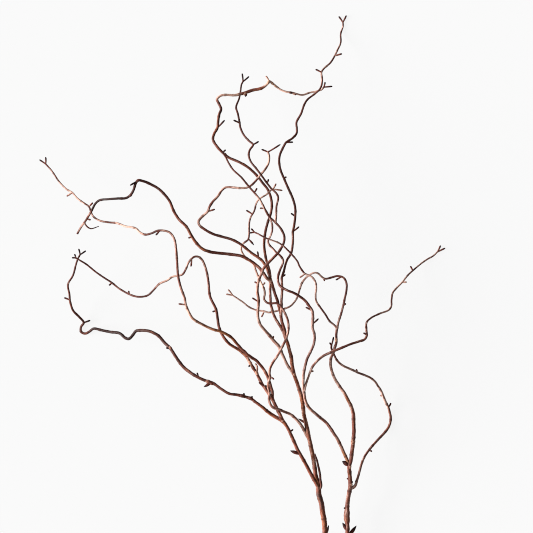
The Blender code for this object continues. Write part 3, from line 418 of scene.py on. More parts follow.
        route=(
            (-28.5, 495.5, 80), (-27.5, 503, 81.5), (-27.5, 510, 83), (-27.5, 517.5, 84), (-27, 525, 85),
            (-26.5, 536.5, 86), (-27, 545, 87), (-27, 552.5, 87.5), (-24.5, 559.5, 88), (-22, 569.5, 88),
            (-19, 578.5, 88), (-13.5, 587.5, 88), (-10.5, 604.5, 87.5), (-10.5, 620.5, 87), (-9, 627.5, 86.5),
            (-7, 643, 85), (-7, 656, 84), (-10.5, 669.5, 82), (-17.5, 685.5, 80), (-24, 700.5, 78),
            (-29, 713, 76), (-31, 724.5, 74), (-30, 735, 72), (-25, 746.5, 70), (-20.5, 754, 68),
            (-11.5, 760, 65), (-5, 767.5, 63), (-4.5, 774.5, 61), (-5, 784, 58), (2, 797.5, 54),
            (6.5, 810.5, 50), (11.5, 818.5, 47), (21, 826, 44), (29.5, 833.5, 42), (32.5, 839.5, 40),
            (33.5, 849, 37), (32.5, 859.5, 34), (36, 865, 31), (46, 874, 26), (52.5, 884.5, 21),
            (56.5, 893, 16), (61.5, 904.5, 8.5), (61.5, 917.5, 2.6), (65, 930, 0.9), (64.5, 936.5, 0.8),
        ),
        fork=((58.5, 944), (70, 945.5)),
        buds=(
            (52.5, 884.5, 63.5, 887.5), (32.5, 859.5, 23.5, 864), (-20.5, 754, -10, 754.5),
            (-7, 643.5, -13.5, 648), (-10.5, 620.5, -1, 628), (-27, 553, -21.5, 556.5),
            (-24, 700, -20, 702.5),
        ),
    ),
    "dark spur": Branch(
        parent="stem",
        girth=((0, 3.8), (0.3, 3.8), (0.85, 3.0), (1, 1.6)),
        tone=((0, -0.9), (1, -0.9)),
        route=(
            (29.5, 231, 41), (32, 239.5, 44), (31, 247, 46.5), (30, 258, 49.5), (27.5, 270, 52),
            (25, 280, 54), (22.5, 288, 56),
        ),
    ),
}

RIGHT_STEM = {
    "stem": Branch(
        parent="",
        girth=(
            (0, 7.6), (0.2, 6.8), (0.365, 6.3), (0.38, 9.0), (0.4, 9.2), (0.415, 6.4), (0.46, 6.4),
            (0.5, 6.2), (0.7, 5.6), (0.85, 4.3), (1, 3.9),
        ),
        tone=(
            (0, 0.0), (0.28, 0.15), (0.35, 0.25), (0.45, 0.55), (0.52, 0.2), (0.68, 0.0),
            (0.73, 0.45), (0.8, 0.6), (0.86, 1.0), (0.92, 0.45), (1, 0.3),
        ),
        knobs=(
            (69, 198, 4.6, 0.9), (73.5, 190, 4.4, -0.2), (77.5, 241, 4.6, 1.1), (50.5, 441, 4.6, 0.6),
            (53.5, 459, 4.8, 0.9), (75, 268, 5, 0.9), (78.3, 305.5, 7, 0.6),
        ),
        route=(
            (71.1, 3, 3.1), (71.3, 34.5, 3.1), (71, 72, 6), (71, 118, 12), (71.5, 168, 21), (71.5, 179, 23),
            (70.5, 193.5, 25), (71, 205, 27), (72, 217.5, 29), (74, 229, 31), (75.5, 236.5, 32.5),
            (75.5, 246, 34.5), (74.5, 259, 37), (74, 268, 39), (76.5, 278, 41), (78, 289.5, 43.5),
            (79.5, 301, 46), (80.5, 312, 48), (81, 322.5, 50), (80.5, 334.5, 52), (80, 348, 54.5),
            (76.5, 359.5, 56.5), (71.5, 369.5, 58), (66.5, 379, 59.5), (59, 389.5, 61), (52, 401, 63),
            (48, 411.5, 65), (46, 421, 66.5), (46.5, 431, 68), (48.5, 436, 68.5), (50.5, 442, 69.5),
            (52.5, 448, 70.5), (54.5, 454, 71), (54.5, 460, 71.5), (54.5, 468, 73), (56, 478, 74),
        ),
        buds=(
            (70, 170.5, 64, 184, 5.4), (73.5, 163, 85, 179.5, 5.4), (70.5, 204, 66, 206.5),
            (75, 249, 70.5, 250.5), (70.5, 194, 74.5, 195.5, 4), (76.5, 240, 79, 246.5),
        ),
    ),
    "cross": Branch(
        parent="stem",
        girth=(
            (0, 5.0), (0.08, 4.8), (0.2, 4.6), (0.35, 4.4), (0.45, 3.9), (0.55, 4.2), (0.7, 3.7),
            (0.9, 3.0), (1, 2.5),
        ),
        tone=(
            (0, 0.7), (0.15, 0.6), (0.2, 0.4), (0.32, 0.8), (0.37, 0.75), (0.43, 0.4),
            (0.53, 0.8), (0.58, 0.6), (0.61, -0.5), (0.64, -0.6), (0.7, 0.2), (0.83, 0.1),
            (0.88, 0.2), (0.92, 0.8), (1, 0.7),
        ),
        grey=((0, 0), (0.3, 0.1), (0.36, 0.6), (0.5, 0.5), (0.6, 0), (1, 0)),
        amber=((0, 0.2), (0.015, 0.9), (0.045, 0.9), (0.065, 0.2), (0.12, 0), (1, 0)),
        route=(
            (74, 270, 39.5), (71.5, 277, 41.5), (66, 289, 45), (61, 300.5, 48), (56, 310.5, 51),
            (51, 318, 54), (46.5, 325, 56.5), (39, 335, 60), (31, 341.5, 63.5), (23.5, 348, 67),
            (16, 354.5, 70), (11, 361, 72), (8, 368.5, 74), (6.5, 378, 76), (5, 390, 78), (5, 398.5, 79),
            (5.5, 407.5, 80.5), (7.5, 418, 82), (11, 430.5, 83.5), (16, 441, 84.5), (20.5, 451.5, 85.5),
            (22, 460.5, 86), (21.5, 468, 86.5), (19, 476, 87.5), (19, 484, 88.5), (19.5, 493.5, 90),
            (18.5, 502, 91.5), (13.5, 509.5, 93), (8, 517, 94), (0.5, 523, 95), (-9.5, 529, 96),
            (-17.5, 532, 96.5), (-24.5, 535.5, 97), (-30, 539.5, 96.5), (-32.5, 546, 96), (-32.5, 553.5, 95),
            (-29.5, 563.5, 93), (-26, 571.5, 91.5), (-25, 577.5, 90.5), (-29, 584, 89.5), (-35, 589, 89),
            (-40.5, 595, 88.5), (-46.5, 601.5, 88.5), (-47.5, 607, 88), (-44.5, 613, 87.5),
            (-41.5, 621.5, 87), (-41.5, 631, 86), (-44.5, 640, 85.5), (-49, 649, 85), (-53.5, 656.5, 85),
        ),
        fork=((-56, 662), (-60, 655.5)),
        buds=((74, 266, 63.5, 276.5, 7), (19, 482, 28, 490.5), (18.5, 501.5, 8.5, 507.5)),
    ),
    "reach": Branch(
        parent="cross",
        girth=(
            (0, 3.2), (0.12, 3.6), (0.2, 4.0), (0.3, 3.7), (0.42, 3.7), (0.52, 2.9), (0.7, 2.8),
            (1, 2.4),
        ),
        tone=(
            (0, 1.6), (0.08, 1.6), (0.13, 0.5), (0.18, 0.9), (0.23, 0.7), (0.27, -0.2),
            (0.33, -0.1), (0.37, 0.4), (0.52, 0.2), (0.57, 1.1), (0.67, 0.2), (0.72, 0.6),
            (0.775, 1.7), (0.82, 0.4), (0.92, 0.8), (1, 0.5),
        ),
        route=(
            (6.5, 379, 76), (8, 388, 77.5), (10.5, 397, 78.5), (15, 409.5, 79.5), (19, 418.5, 80),
            (26.5, 427.5, 80.5), (35, 434.5, 81), (44.5, 439, 81.5), (53.5, 443, 81), (62, 446.5, 80),
            (75.5, 452, 77), (89.5, 456.5, 73), (96.5, 459, 71), (100, 464.5, 68.5), (99.5, 474, 64.5),
            (100, 484.5, 60), (107, 491.5, 56), (120.5, 498, 51), (133, 503, 45.5), (137, 508.5, 42.5),
            (137.5, 518.5, 38), (139.5, 529, 32.5), (146.5, 537.5, 27), (153.5, 544.5, 22), (162, 555, 15),
            (169.5, 562, 11), (182.5, 573, 4.5), (192, 579.5, 1.4), (200, 584, 0.8), (208, 591.5, 0.8),
        ),
        fork=((211.5, 600), (218.5, 596)),
        buds=((100, 466, 95, 469), (169.5, 562, 166, 569), (153, 544, 160.5, 545), (15, 411, 20.5, 412)),
    ),
    "hoop": Branch(
        parent="stem",
        girth=(
            (0, 4.4), (0.03, 4.6), (0.08, 3.8), (0.2, 3.7), (0.4, 3.9), (0.55, 4.0), (0.65, 3.3),
            (0.85, 3.6), (1, 3.0),
        ),
        tone=(
            (0, 1.0), (0.03, 0.8), (0.06, 0.45), (0.22, 0.7), (0.28, 0.45), (0.33, 0.0),
            (0.48, 0.25), (0.53, 0.9), (0.63, 1.15), (0.73, 0.55), (0.78, 0.6), (0.83, 1.15),
            (0.93, 0.2), (1, -0.3),
        ),
        route=(
            (75.5, 234.5, 32), (80, 237, 31.5), (83.5, 240.5, 31), (85, 245.5, 30), (87.5, 253.5, 28),
            (90.5, 264.5, 25), (94, 276, 22), (99, 286, 18.5), (104, 293, 16), (111.5, 302, 12),
            (119.5, 310.5, 8), (127.5, 319, 4.2), (133, 326.5, 2), (136, 335, 1.2), (136.5, 342, 1.2),
            (135, 349.5, 2), (133, 356.5, 4), (129.5, 363.5, 7), (125.5, 373, 12), (122, 381.5, 16),
            (117, 389.5, 20), (112.5, 396, 24), (105.5, 401.5, 28), (97, 405.5, 32), (87.5, 409, 36),
            (80.5, 412.5, 39), (72.5, 416, 42.5), (65, 419.5, 46), (59, 424, 49), (54.5, 429.5, 51.5),
            (52, 434.5, 53), (50, 439.5, 54.5), (48, 443.5, 55.5), (47, 447.5, 56.5), (47.5, 451, 57),
        ),
        fork=((44.5, 454.5), (50.5, 463)),
        buds=(
            (104, 293, 108.5, 290.5), (86, 409.5, 84.5, 414.5), (133, 356, 137, 363.5),
            (125, 373.5, 121, 375),
        ),
    ),
    "sweep": Branch(
        parent="stem",
        girth=((0, 3.0), (0.35, 3.0), (0.45, 3.2), (0.6, 2.7), (1, 2.4)),
        tone=(
            (0, 0.5), (0.17, 0.1), (0.27, 1.1), (0.37, 1.2), (0.42, 0.7), (0.47, 1.2),
            (0.5, 1.1), (0.52, -0.6), (0.57, -0.2), (0.67, 0.0), (0.72, -0.5), (0.77, 0.0),
            (0.82, 1.2), (0.92, 0.5), (1, -0.3),
        ),
        route=(
            (55.5, 475.5, 73.5), (52, 480, 75), (44.5, 486.5, 77), (38.5, 496, 79.5), (31, 506.5, 82),
            (24.5, 516.5, 85), (23.5, 526.5, 87), (24.5, 536, 89), (23, 545.5, 91), (18.5, 552, 93),
            (13.5, 555, 94), (7.5, 557.5, 95.5), (4, 561.5, 97), (-0.5, 568.5, 99), (-3.5, 575.5, 101),
            (-7.5, 581, 102.5), (-12, 586, 104), (-18.5, 593, 106), (-25.5, 599.5, 108),
            (-31.5, 603.5, 108.5), (-40.5, 607, 109), (-49, 610, 108.5), (-57, 614, 108),
            (-63.5, 617.5, 107), (-69.5, 620, 106),
        ),
        fork=((-73, 625), (-75.5, 618.5)),
        buds=((7, 557.5, -0.5, 551.5),),
    ),
    "ring": Branch(
        parent="stem",
        girth=((0, 3.5), (0.38, 3.1), (0.44, 2.7), (0.52, 3.4), (0.6, 3.0), (1, 2.4)),
        tone=(
            (0, 0.5), (0.12, 0.3), (0.2, 0.2), (0.27, 0.6), (0.315, -0.5), (0.34, -0.4),
            (0.38, 0.7), (0.47, 1.3), (0.58, 0.5), (0.61, 1.6), (0.64, 1.5), (0.67, 0.6),
            (0.78, 1.2), (0.87, 0.6), (0.93, 1.2), (1, 1.3),
        ),
        route=(
            (55.5, 475.5, 73.5), (58, 486.5, 75), (61.5, 497, 77), (64.5, 508.5, 78.5), (67, 520, 80),
            (69.5, 531.5, 80.5), (70, 540.5, 81), (68.5, 547, 81), (64.5, 552, 81.5), (56, 554, 82),
            (46, 551.5, 82), (37.5, 550, 82), (32.5, 553, 82), (27, 558, 82), (22, 559, 82),
            (15.5, 556.5, 81.5), (9, 551.5, 80), (3, 543.5, 78), (-0.5, 533.5, 76), (-4, 522, 73.5),
            (-9.5, 513.5, 71), (-15, 508.5, 69.5), (-23.5, 505, 68), (-33.5, 502, 66.5), (-40, 500.5, 66),
            (-47, 499.5, 66), (-53.5, 501.5, 66), (-59, 502, 66), (-67, 503.5, 67), (-76.5, 508, 68),
            (-86, 515.5, 69), (-95, 521.5, 70), (-102, 526, 71),
        ),
        fork=((-107.5, 534), (-110.5, 527)),
        buds=(
            (-53.5, 501.5, -57.5, 492.5), (61.5, 553, 53.5, 548), (65, 510.5, 69, 513),
            (35, 551.5, 37, 546.5),
        ),
    ),
}


class Number:
    """A number socket of a node tree that Python arithmetic works on."""

    def __init__(self, bench: "Bench", socket: bpy.types.NodeSocket) -> None:
        """Wrap one output socket."""
        self.bench = bench
        self.socket = socket

    def _math(self, operation: str, first: Feed, second: Feed = 0.0) -> "Number":
        """Add one Math node.

        Args:
            operation: The Math node's operation.
            first: Its first value.
            second: Its second value.

        Returns:
            The node's result.
        """
        node = self.bench.add("ShaderNodeMath", {"operation": operation}, {0: first, 1: second})
        return Number(self.bench, node.outputs[0])

    def __add__(self, other: Feed) -> "Number":
        """Return self + other."""
        return self._math("ADD", self, other)

    def __sub__(self, other: Feed) -> "Number":
        """Return self - other."""
        return self._math("SUBTRACT", self, other)

    def __rsub__(self, other: Feed) -> "Number":
        """Return other - self."""
        return self._math("SUBTRACT", other, self)

    def __mul__(self, other: Feed) -> "Number":
        """Return self * other."""
        return self._math("MULTIPLY", self, other)

    __radd__ = __add__
    __rmul__ = __mul__

    def ease(self, low: float, high: float) -> "Number":
        """Return 0 below low and 1 above high, with a smooth rise between (or fall, if turned round)."""
        node = self.bench.add(
            "ShaderNodeMapRange",
            {"interpolation_type": "SMOOTHSTEP"},
            {"Value": self, "From Min": low, "From Max": high},
        )
        return Number(self.bench, node.outputs[0])


class Bench:
    """Adds nodes to one tree and feeds their sockets."""

    def __init__(self, tree: bpy.types.NodeTree) -> None:
        """Work on one tree."""
        self.tree = tree

    def add(self, kind: str, settings: dict | None = None, sockets: dict | None = None) -> bpy.types.Node:
        """Add one node.

        Args:
            kind: The node's type.
            settings: Its own values, set before its sockets are fed.
            sockets: What each input gets, by the input's name or its place.

        Returns:
            The new node.
        """
        node = self.tree.nodes.new(kind)
        for name, setting in (settings or {}).items():
            setattr(node, name, setting)
        for key, feed in (sockets or {}).items():
            self.feed(self._input(node, key), feed)
        return node

    def feed(self, socket: bpy.types.NodeSocket, source: Feed) -> None:
        """Link a socket to another one, or set its value."""
        if isinstance(source, Number):
            source = source.socket
        if isinstance(source, bpy.types.NodeSocket):
            self.tree.links.new(source, socket)
        else:
            socket.default_value = source

    def _input(self, node: bpy.types.Node, key: Union[str, int]) -> bpy.types.NodeSocket:
        """Return the input in use that has this name, or the one at this place."""
        if isinstance(key, int):
            return node.inputs[key]
        return next(socket for socket in node.inputs if socket.enabled and socket.name == key)

    def number(self, kind: str, settings: dict | None = None, sockets: dict | None = None) -> Number:
        """Add a node and return its first output in use as a number."""
        node = self.add(kind, settings, sockets)
        return Number(self, next(socket for socket in node.outputs if socket.enabled))

    def vector(self, operation: str, first: Feed, second: Feed) -> bpy.types.NodeSocket:
        """Return the result of a Vector Math node."""
        return self.add("ShaderNodeVectorMath", {"operation": operation}, {0: first, 1: second}).outputs[0]


class ShaderBench(Bench):
    """Adds the nodes of one material."""

    def __init__(self, name: str) -> None:
        """Start a material with its Principled shader."""
        self.material = bpy.data.materials.new(name)
        self.material.use_nodes = True
        super().__init__(self.material.node_tree)
        self.shader = self.tree.nodes["Principled BSDF"]

    def attribute(self, name: str) -> Number:
        """Return a number that the mesh carries."""
        return Number(self, self._attribute(name).outputs["Fac"])

    def attribute_vector(self, name: str) -> bpy.types.NodeSocket:
        """Return a vector that the mesh carries."""
        return self._attribute(name).outputs["Vector"]

    def _attribute(self, name: str) -> bpy.types.Node:
        """Add an Attribute node."""
        return self.add("ShaderNodeAttribute", {"attribute_type": "GEOMETRY", "attribute_name": name})

    def mix(self, share: Feed, one: Feed, other: Feed) -> bpy.types.NodeSocket:
        """Mix two colours.

        Args:
            share: How much of the second colour there is.
            one: The first colour.
            other: The second colour.

        Returns:
            The mixed colour.
        """
        one, other = ((*c, 1.0) if isinstance(c, tuple) else c for c in (one, other))
        node = self.add("ShaderNodeMix", {"data_type": "RGBA"}, {"Factor": share, "A": one, "B": other})
        return next(socket for socket in node.outputs if socket.enabled)

    def noise(self, place: Feed, scale: float, detail: float) -> Number:
        """Return a cloudy pattern around one half."""
        return self.number("ShaderNodeTexNoise", None, {"Vector": place, "Scale": scale, "Detail": detail})

    def object_place(self) -> bpy.types.NodeSocket:
        """Return the place on the piece."""
        return self.add("ShaderNodeTexCoord").outputs["Object"]

    def give(self, name: str, source: Feed) -> None:
        """Feed or set one of the shader's inputs."""
        self.feed(self.shader.inputs[name], source)

    def raise_relief(self, strength: float, depth: float, height: Feed) -> None:
        """Give the shader fine relief, with its depth in metres."""
        bump = self.add("ShaderNodeBump", None, {"Strength": strength, "Distance": depth, "Height": height})
        self.give("Normal", bump.outputs[0])


@dataclass(frozen=True)
class BarkFinish:
    """Willow bark, with linear colours and with lengths in millimetres.

    Each edge is where a colour starts to show and where it shows in full, and each share is how
    much it covers there. relief is in metres.
    """

    name: str
    young: Colour
    old: Colour
    # pale is partly pale bark and collars, partly painted highlight where a strand catches the light
    pale: Colour
    # dark is partly dark patches and knots, partly painted shade where a strand lies in shade
    dark: Colour
    # deep is partly the darkest bark, partly painted shade where the tone is far below zero
    deep: Colour
    warm: Colour
    grey: Colour
    amber: Colour
    lenticel: Colour
    roughness: float = 0.45
    roughness_range: float = 0.3
    gloss: float = 0.16
    thin: float = 1.2
    thick: float = 2.8
    calm: float = 0.45
    patch_size: float = 2.6
    patch_length: float = 12.0
    warm_size: float = 3.4
    warm_length: float = 24.0
    warm_edge: Edge = (0.5, 0.66)
    warm_share: float = 0.75
    streak_size: float = 0.8
    streak_length: float = 7.0
    fine_scale: float = 900.0
    shade_patches: float = 3.0
    shade_streaks: float = 1.6
    shade_tone: float = 0.35
    dark_edge: Edge = (0.0, 0.3)
    dark_share: float = 0.88
    deep_edge: Edge = (-0.7, -2.2)
    deep_share: float = 0.85
    glow_patches: float = 3.6
    glow_streaks: float = 2.4
    pale_edge: Edge = (0.2, 1.3)
    grey_gain: float = 1.1
    grey_loss: float = 0.1
    amber_gain: float = 1.25
    collar_share: float = 0.5
    knot_share: float = 0.6
    lenticel_size: float = 1.3
    lenticel_length: float = 2.0
    lenticel_edge: Edge = (0.2, 0.08)
    lenticel_share: float = 0.55
    lenticel_height: float = 0.5
    fine_height: float = 0.4
    relief: float = 0.0003
    relief_strength: float = 0.8

    def _wrapped(self, bench: ShaderBench, size: float, length: float) -> bpy.types.NodeSocket:
        """Return a place on the bark, in patterns of one size around the twig and one along it."""
        girth = bench.attribute("girth") * (1 / MM / size)
        along = bench.attribute("along") * (1 / MM / length)
        around = bench.vector("SCALE", bench.attribute_vector("rim"), (0, 0, 0))
        bench.feed(around.node.inputs["Scale"], girth)
        lengthways = bench.add("ShaderNodeCombineXYZ", None, {"Z": along})
        return bench.vector("ADD", around, lengthways.outputs[0])

    def material(self) -> bpy.types.Material:
        """Build the bark: patches and streaks along the twig, pale collars, lenticels, dark knots, and
        painted shade and painted highlight where the carried tone darkens or lightens a strand.

        Returns:
            The material.
        """
        bench = ShaderBench(self.name)
        girth = bench.attribute("girth") * (1 / MM)
        old = girth.ease(self.thin, self.thick)
        # the tone: partly how pale or dark the bark is, partly painted shade and painted highlight
        tone = bench.attribute("tone")
        patches = bench.noise(self._wrapped(bench, self.patch_size, self.patch_length), 1.0, 2.0)
        streaks = bench.noise(self._wrapped(bench, self.streak_size, self.streak_length), 1.0, 3.0)
        cells = bench.add(
            "ShaderNodeTexVoronoi",
            {"feature": "F1"},
            {"Vector": self._wrapped(bench, self.lenticel_size, self.lenticel_length), "Scale": 1.0},
        )
        spot = Number(bench, cells.outputs["Distance"]).ease(*self.lenticel_edge)
        fine = bench.noise(bench.object_place(), self.fine_scale, 3.0)
        warmth = bench.noise(self._wrapped(bench, self.warm_size, self.warm_length), 1.0, 2.0)

        mottle = 1.0 - old * self.calm
        patchy, streaky = patches - 0.5, streaks - 0.5
        mottled_shade = (patchy * self.shade_patches + streaky * self.shade_streaks) * mottle
        # painted shade: a low carried tone pulls in the dark colour where a strand lies in shade; the
        # mottling is the bark's own
        shade = mottled_shade - tone * self.shade_tone
        # painted highlight: a high carried tone pulls in the pale colour where a strand catches the light;
        # the mottling is the bark's own
        glow = tone - (patchy * self.glow_patches - streaky * self.glow_streaks) * mottle

        colour = bench.mix(old, self.young, self.old)
        for share, coat in (
            (warmth.ease(*self.warm_edge) * old * self.warm_share, self.warm),
            # dark and deep here are partly dark bark and partly painted shade; pale is partly pale bark and
            # partly painted highlight
            (shade.ease(*self.dark_edge) * self.dark_share, self.dark),
            (tone.ease(*self.deep_edge) * self.deep_share, self.deep),
            (glow.ease(*self.pale_edge), self.pale),
            (bench.attribute("grey") * (streaks * self.grey_gain - self.grey_loss), self.grey),
            (bench.attribute("amber") * (self.amber_gain - streaks), self.amber),
            (bench.attribute("collar") * self.collar_share, self.pale),
            (bench.attribute("knot") * self.knot_share, self.dark),
            (spot * old * self.lenticel_share, self.lenticel),
        ):
            colour = bench.mix(share, colour, coat)
        bench.give("Base Color", colour)
        bench.give("Specular IOR Level", self.gloss)
        bench.give("Roughness", self.roughness + self.roughness_range * fine)
        height = streaks + patches + spot * self.lenticel_height + fine * self.fine_height
        bench.raise_relief(self.relief_strength, self.relief, height)
        return bench.material


@dataclass(frozen=True)
class BudFinish:
    """The scale of a willow bud, dull at its root and dark at its tip, with painted shade and painted
    highlight from its carried tone, and with its relief in metres.
    """

    name: str
    root: Colour
    tip: Colour
    # pale is partly pale scale and partly painted highlight
    pale: Colour
    cloud_scale: float = 420.0
    shade_clouds: float = 0.5
    shade_tone: float = 0.4
    tip_edge: Edge = (0.45, 1.15)
    glow_clouds: float = 1.2
    glow_tone: float = 0.7
    fall: float = 0.5
    pale_edge: Edge = (0.1, 0.8)
    pale_share: float = 0.9
    gloss: float = 0.12
    roughness: float = 0.5
    roughness_range: float = 0.2
    relief: float = 0.0002
    relief_strength: float = 0.4

    def material(self) -> bpy.types.Material:
        """Build the bud's material.

        Returns:
            The material.
        """
        bench = ShaderBench(self.name)
        reach = bench.attribute("reach")
        tone = bench.attribute("tone")
        clouds = bench.noise(bench.object_place(), self.cloud_scale, 3.0)
        # the carried tone paints shade and highlight on the bud here, as on the bark
        shade = reach + clouds * self.shade_clouds - tone * self.shade_tone
        glow = tone * self.glow_tone - reach * self.fall + (clouds - 0.5) * self.glow_clouds
        colour = bench.mix(shade.ease(*self.tip_edge), self.root, self.tip)
        colour = bench.mix(glow.ease(*self.pale_edge) * self.pale_share, colour, self.pale)
        bench.give("Base Color", colour)
        bench.give("Specular IOR Level", self.gloss)
        bench.give("Roughness", self.roughness + self.roughness_range * clouds)
        bench.raise_relief(self.relief_strength, self.relief, clouds)
        return bench.material


@dataclass(frozen=True)
class CutWoodFinish:
    """Fresh pale wood across a cut, with its rings, its pith and the bast under its bark.

    ring_edge is on the rings' wave, the other edges are distances from the pith as shares of the
    radius, and relief is in metres.
    """

    name: str = "cut_willow_wood"
    wood: Colour = (0.62, 0.47, 0.28)
    ring: Colour = (0.42, 0.29, 0.15)
    pith: Colour = (0.33, 0.2, 0.1)
    bast: Colour = (0.2, 0.22, 0.08)
    grain_scale: float = 1500.0
    ring_density: float = 38.0
    ring_waver: float = 0.04
    ring_edge: Edge = (0.2, 1.0)
    ring_share: float = 0.5
    ring_height: float = 0.2
    pith_edge: Edge = (0.14, 0.09)
    bast_edge: Edge = (0.9, 0.97)
    roughness: float = 0.75
    relief: float = 0.0002
    relief_strength: float = 0.4

    def material(self) -> bpy.types.Material:
        """Build the cut wood, from its distance to the pith.

        Returns:
            The material.
        """
        bench = ShaderBench(self.name)
        out = bench.attribute("reach")
        grain = bench.noise(bench.object_place(), self.grain_scale, 4.0)
        wave = (out + grain * self.ring_waver) * self.ring_density
        rings = bench.number("ShaderNodeMath", {"operation": "SINE"}, {0: wave})
        colour = bench.mix(rings.ease(*self.ring_edge) * self.ring_share, self.wood, self.ring)
        colour = bench.mix(out.ease(*self.pith_edge), colour, self.pith)
        colour = bench.mix(out.ease(*self.bast_edge), colour, self.bast)
        bench.give("Base Color", colour)
        bench.give("Roughness", self.roughness)
        bench.raise_relief(self.relief_strength, self.relief, grain + rings * self.ring_height)
        return bench.material


def shown(name: str, data: bpy.types.ID) -> bpy.types.Object:
    """Put an object with this data into the scene."""
    piece = bpy.data.objects.new(name, data)
    bpy.context.scene.collection.objects.link(piece)
    return piece


class GeometryBench(Bench):
    """Builds one Geometry Nodes tree and turns what it makes into plain meshes."""

    def __init__(self, name: str, inputs: dict[str, str]) -> None:
        """Start a tree.

        Args:
            name: The tree's name.
            inputs: Socket types by the names of the tree's inputs, after its geometry.
        """
        super().__init__(bpy.data.node_groups.new(name, "GeometryNodeTree"))
        face = self.tree.interface
        face.new_socket("Geometry", in_out="OUTPUT", socket_type="NodeSocketGeometry")
        face.new_socket("Geometry", in_out="INPUT", socket_type="NodeSocketGeometry")
        self.keys = {}
        for label, kind in inputs.items():
            self.keys[label] = face.new_socket(label, in_out="INPUT", socket_type=kind).identifier
        self.given = self.add("NodeGroupInput").outputs

    def step(
        self, kind: str, geometry: Feed, settings: dict | None = None, **sockets: Feed
    ) -> bpy.types.NodeSocket:
        """Add a node that works on a geometry.

        Args:
            kind: The node's type.
            geometry: The geometry that goes into its first socket.
            settings: Its own values.
            sockets: Its other inputs; an underscore in a name stands for a space.

        Returns:
            Its first output.
        """
        named = {name.replace("_", " "): feed for name, feed in sockets.items()}
        return self.add(kind, settings, {0: geometry, **named}).outputs[0]

    def named(self, name: str, kind: str = "FLOAT") -> bpy.types.NodeSocket:
        """Return an attribute that the geometry carries."""
        node = self.add("GeometryNodeInputNamedAttribute", {"data_type": kind}, {"Name": name})
        return next(socket for socket in node.outputs if socket.enabled)

    def inside_solids(self, geometry: Feed) -> bpy.types.NodeSocket:
        """Press what would stand out of the solids' box, or sink into the surface, back to it."""
        place = self.add("GeometryNodeInputPosition").outputs[0]
        held = self.vector("MINIMUM", self.vector("MAXIMUM", place, tuple(CAD_BOX[0])), tuple(CAD_BOX[1]))
        return self.step("GeometryNodeSetPosition", geometry, Position=held)

    def close(self, geometry: Feed, material: Feed) -> None:
        """End the tree with plain, smooth geometry that has its material."""
        geometry = self.step("GeometryNodeSetShadeSmooth", geometry)
        geometry = self.step("GeometryNodeRealizeInstances", geometry)
        geometry = self.step("GeometryNodeSetMaterial", geometry, Material=material)
        self.add("NodeGroupOutput", None, {0: geometry})

    def run(self, name: str, start: bpy.types.Mesh, values: dict[str, Feed]) -> bpy.types.Object:
        """Run the tree on a mesh.

        Args:
            name: The piece's name.
            start: The mesh that the tree starts from.
            values: The tree's inputs by name.

        Returns:
            A piece with the result as its own mesh.
        """
        holder = shown(name + "_start", start)
        modifier = holder.modifiers.new("tree", "NODES")
        modifier.node_group = self.tree
        for label, value in values.items():
            modifier[self.keys[label]] = value
        shape = holder.evaluated_get(bpy.context.evaluated_depsgraph_get())
        mesh = bpy.data.meshes.new_from_object(shape)
        bpy.data.objects.remove(holder)
        mesh.name = name
        mesh.set_sharp_from_angle(angle=SHARP_EDGE)
        return shown(name, mesh)


def carried_mesh(
    name: str, points: Sequence[Vector], edges: Sequence[tuple[int, int]], carried: dict[str, list]
) -> bpy.types.Mesh:
    """Make a mesh of points and edges that carry values.

    Args:
        name: The mesh's name.
        points: Its points, in metres.
        edges: Pairs of point numbers.
        carried: Lists of numbers or vectors, one for each point, by name.

    Returns:
        The mesh.
    """
    mesh = bpy.data.meshes.new(name)
    mesh.from_pydata([tuple(point) for point in points], edges, [])
    for key, column in carried.items():
        if isinstance(column[0], Vector):
            layer = mesh.attributes.new(key, "FLOAT_VECTOR", "POINT")
            layer.data.foreach_set("vector", [part for vector in column for part in vector])
        else:
            layer = mesh.attributes.new(key, "FLOAT", "POINT")
            layer.data.foreach_set("value", column)
    return mesh


def circle(sides: int) -> list[tuple[float, float]]:
    """Return points around a circle of radius one."""
    angles = [2 * math.pi * side / sides for side in range(sides)]
    return [(math.cos(angle), math.sin(angle)) for angle in angles]


def loft(name: str, loops: Sequence[Sequence[Point]], reaches: Sequence[float]) -> bpy.types.Mesh:
    """Make a closed mesh through loops of points that follow each other.

    Args:
        name: The mesh's name.
        loops: The loops, all with as many points, counter-clockwise as seen from the last one.
        reaches: What each loop's points carry as their reach.

    Returns:
        The mesh.
    """
    form = bmesh.new()
    layer = form.verts.layers.float.new("reach")
    rings = []
    for loop, reach in zip(loops, reaches):
        ring = [form.verts.new(point) for point in loop]
        for vertex in ring:
            vertex[layer] = reach
        rings.append(ring)
    for low, high in zip(rings, rings[1:]):
        for side in range(len(low)):
            following = (side + 1) % len(low)
            form.faces.new((low[side], low[following], high[following], high[side]))
    form.faces.new(rings[0][::-1])
    form.faces.new(rings[-1])
    mesh = bpy.data.meshes.new(name)
    form.to_mesh(mesh)
    form.free()
    return mesh


@dataclass(frozen=True)
class Curl:
    """The slow rise and fall of a curly twig, in millimetres."""

    height: float = 1.5
    pitch: float = 52.0
    start: float = 25.0
    clearance: float = 40.0

    def lift(self, along: float, height: float, phase: int) -> float:
        """Return how much higher the twig lies at one point."""
        fade = min(1.0, along / self.start) * min(1.0, max(0.0, height) / self.clearance)
        return self.height * fade * math.sin(2 * math.pi * along / self.pitch + phase)


def between_stops(stops: Stops, share: float) -> float:
    """Return the value at a share of the length, straight between its stops."""
    for (low, value), (high, following) in zip(stops, stops[1:]):
        if share <= high:
            return value + (following - value) * (share - low) / (high - low)
    return stops[-1][1]


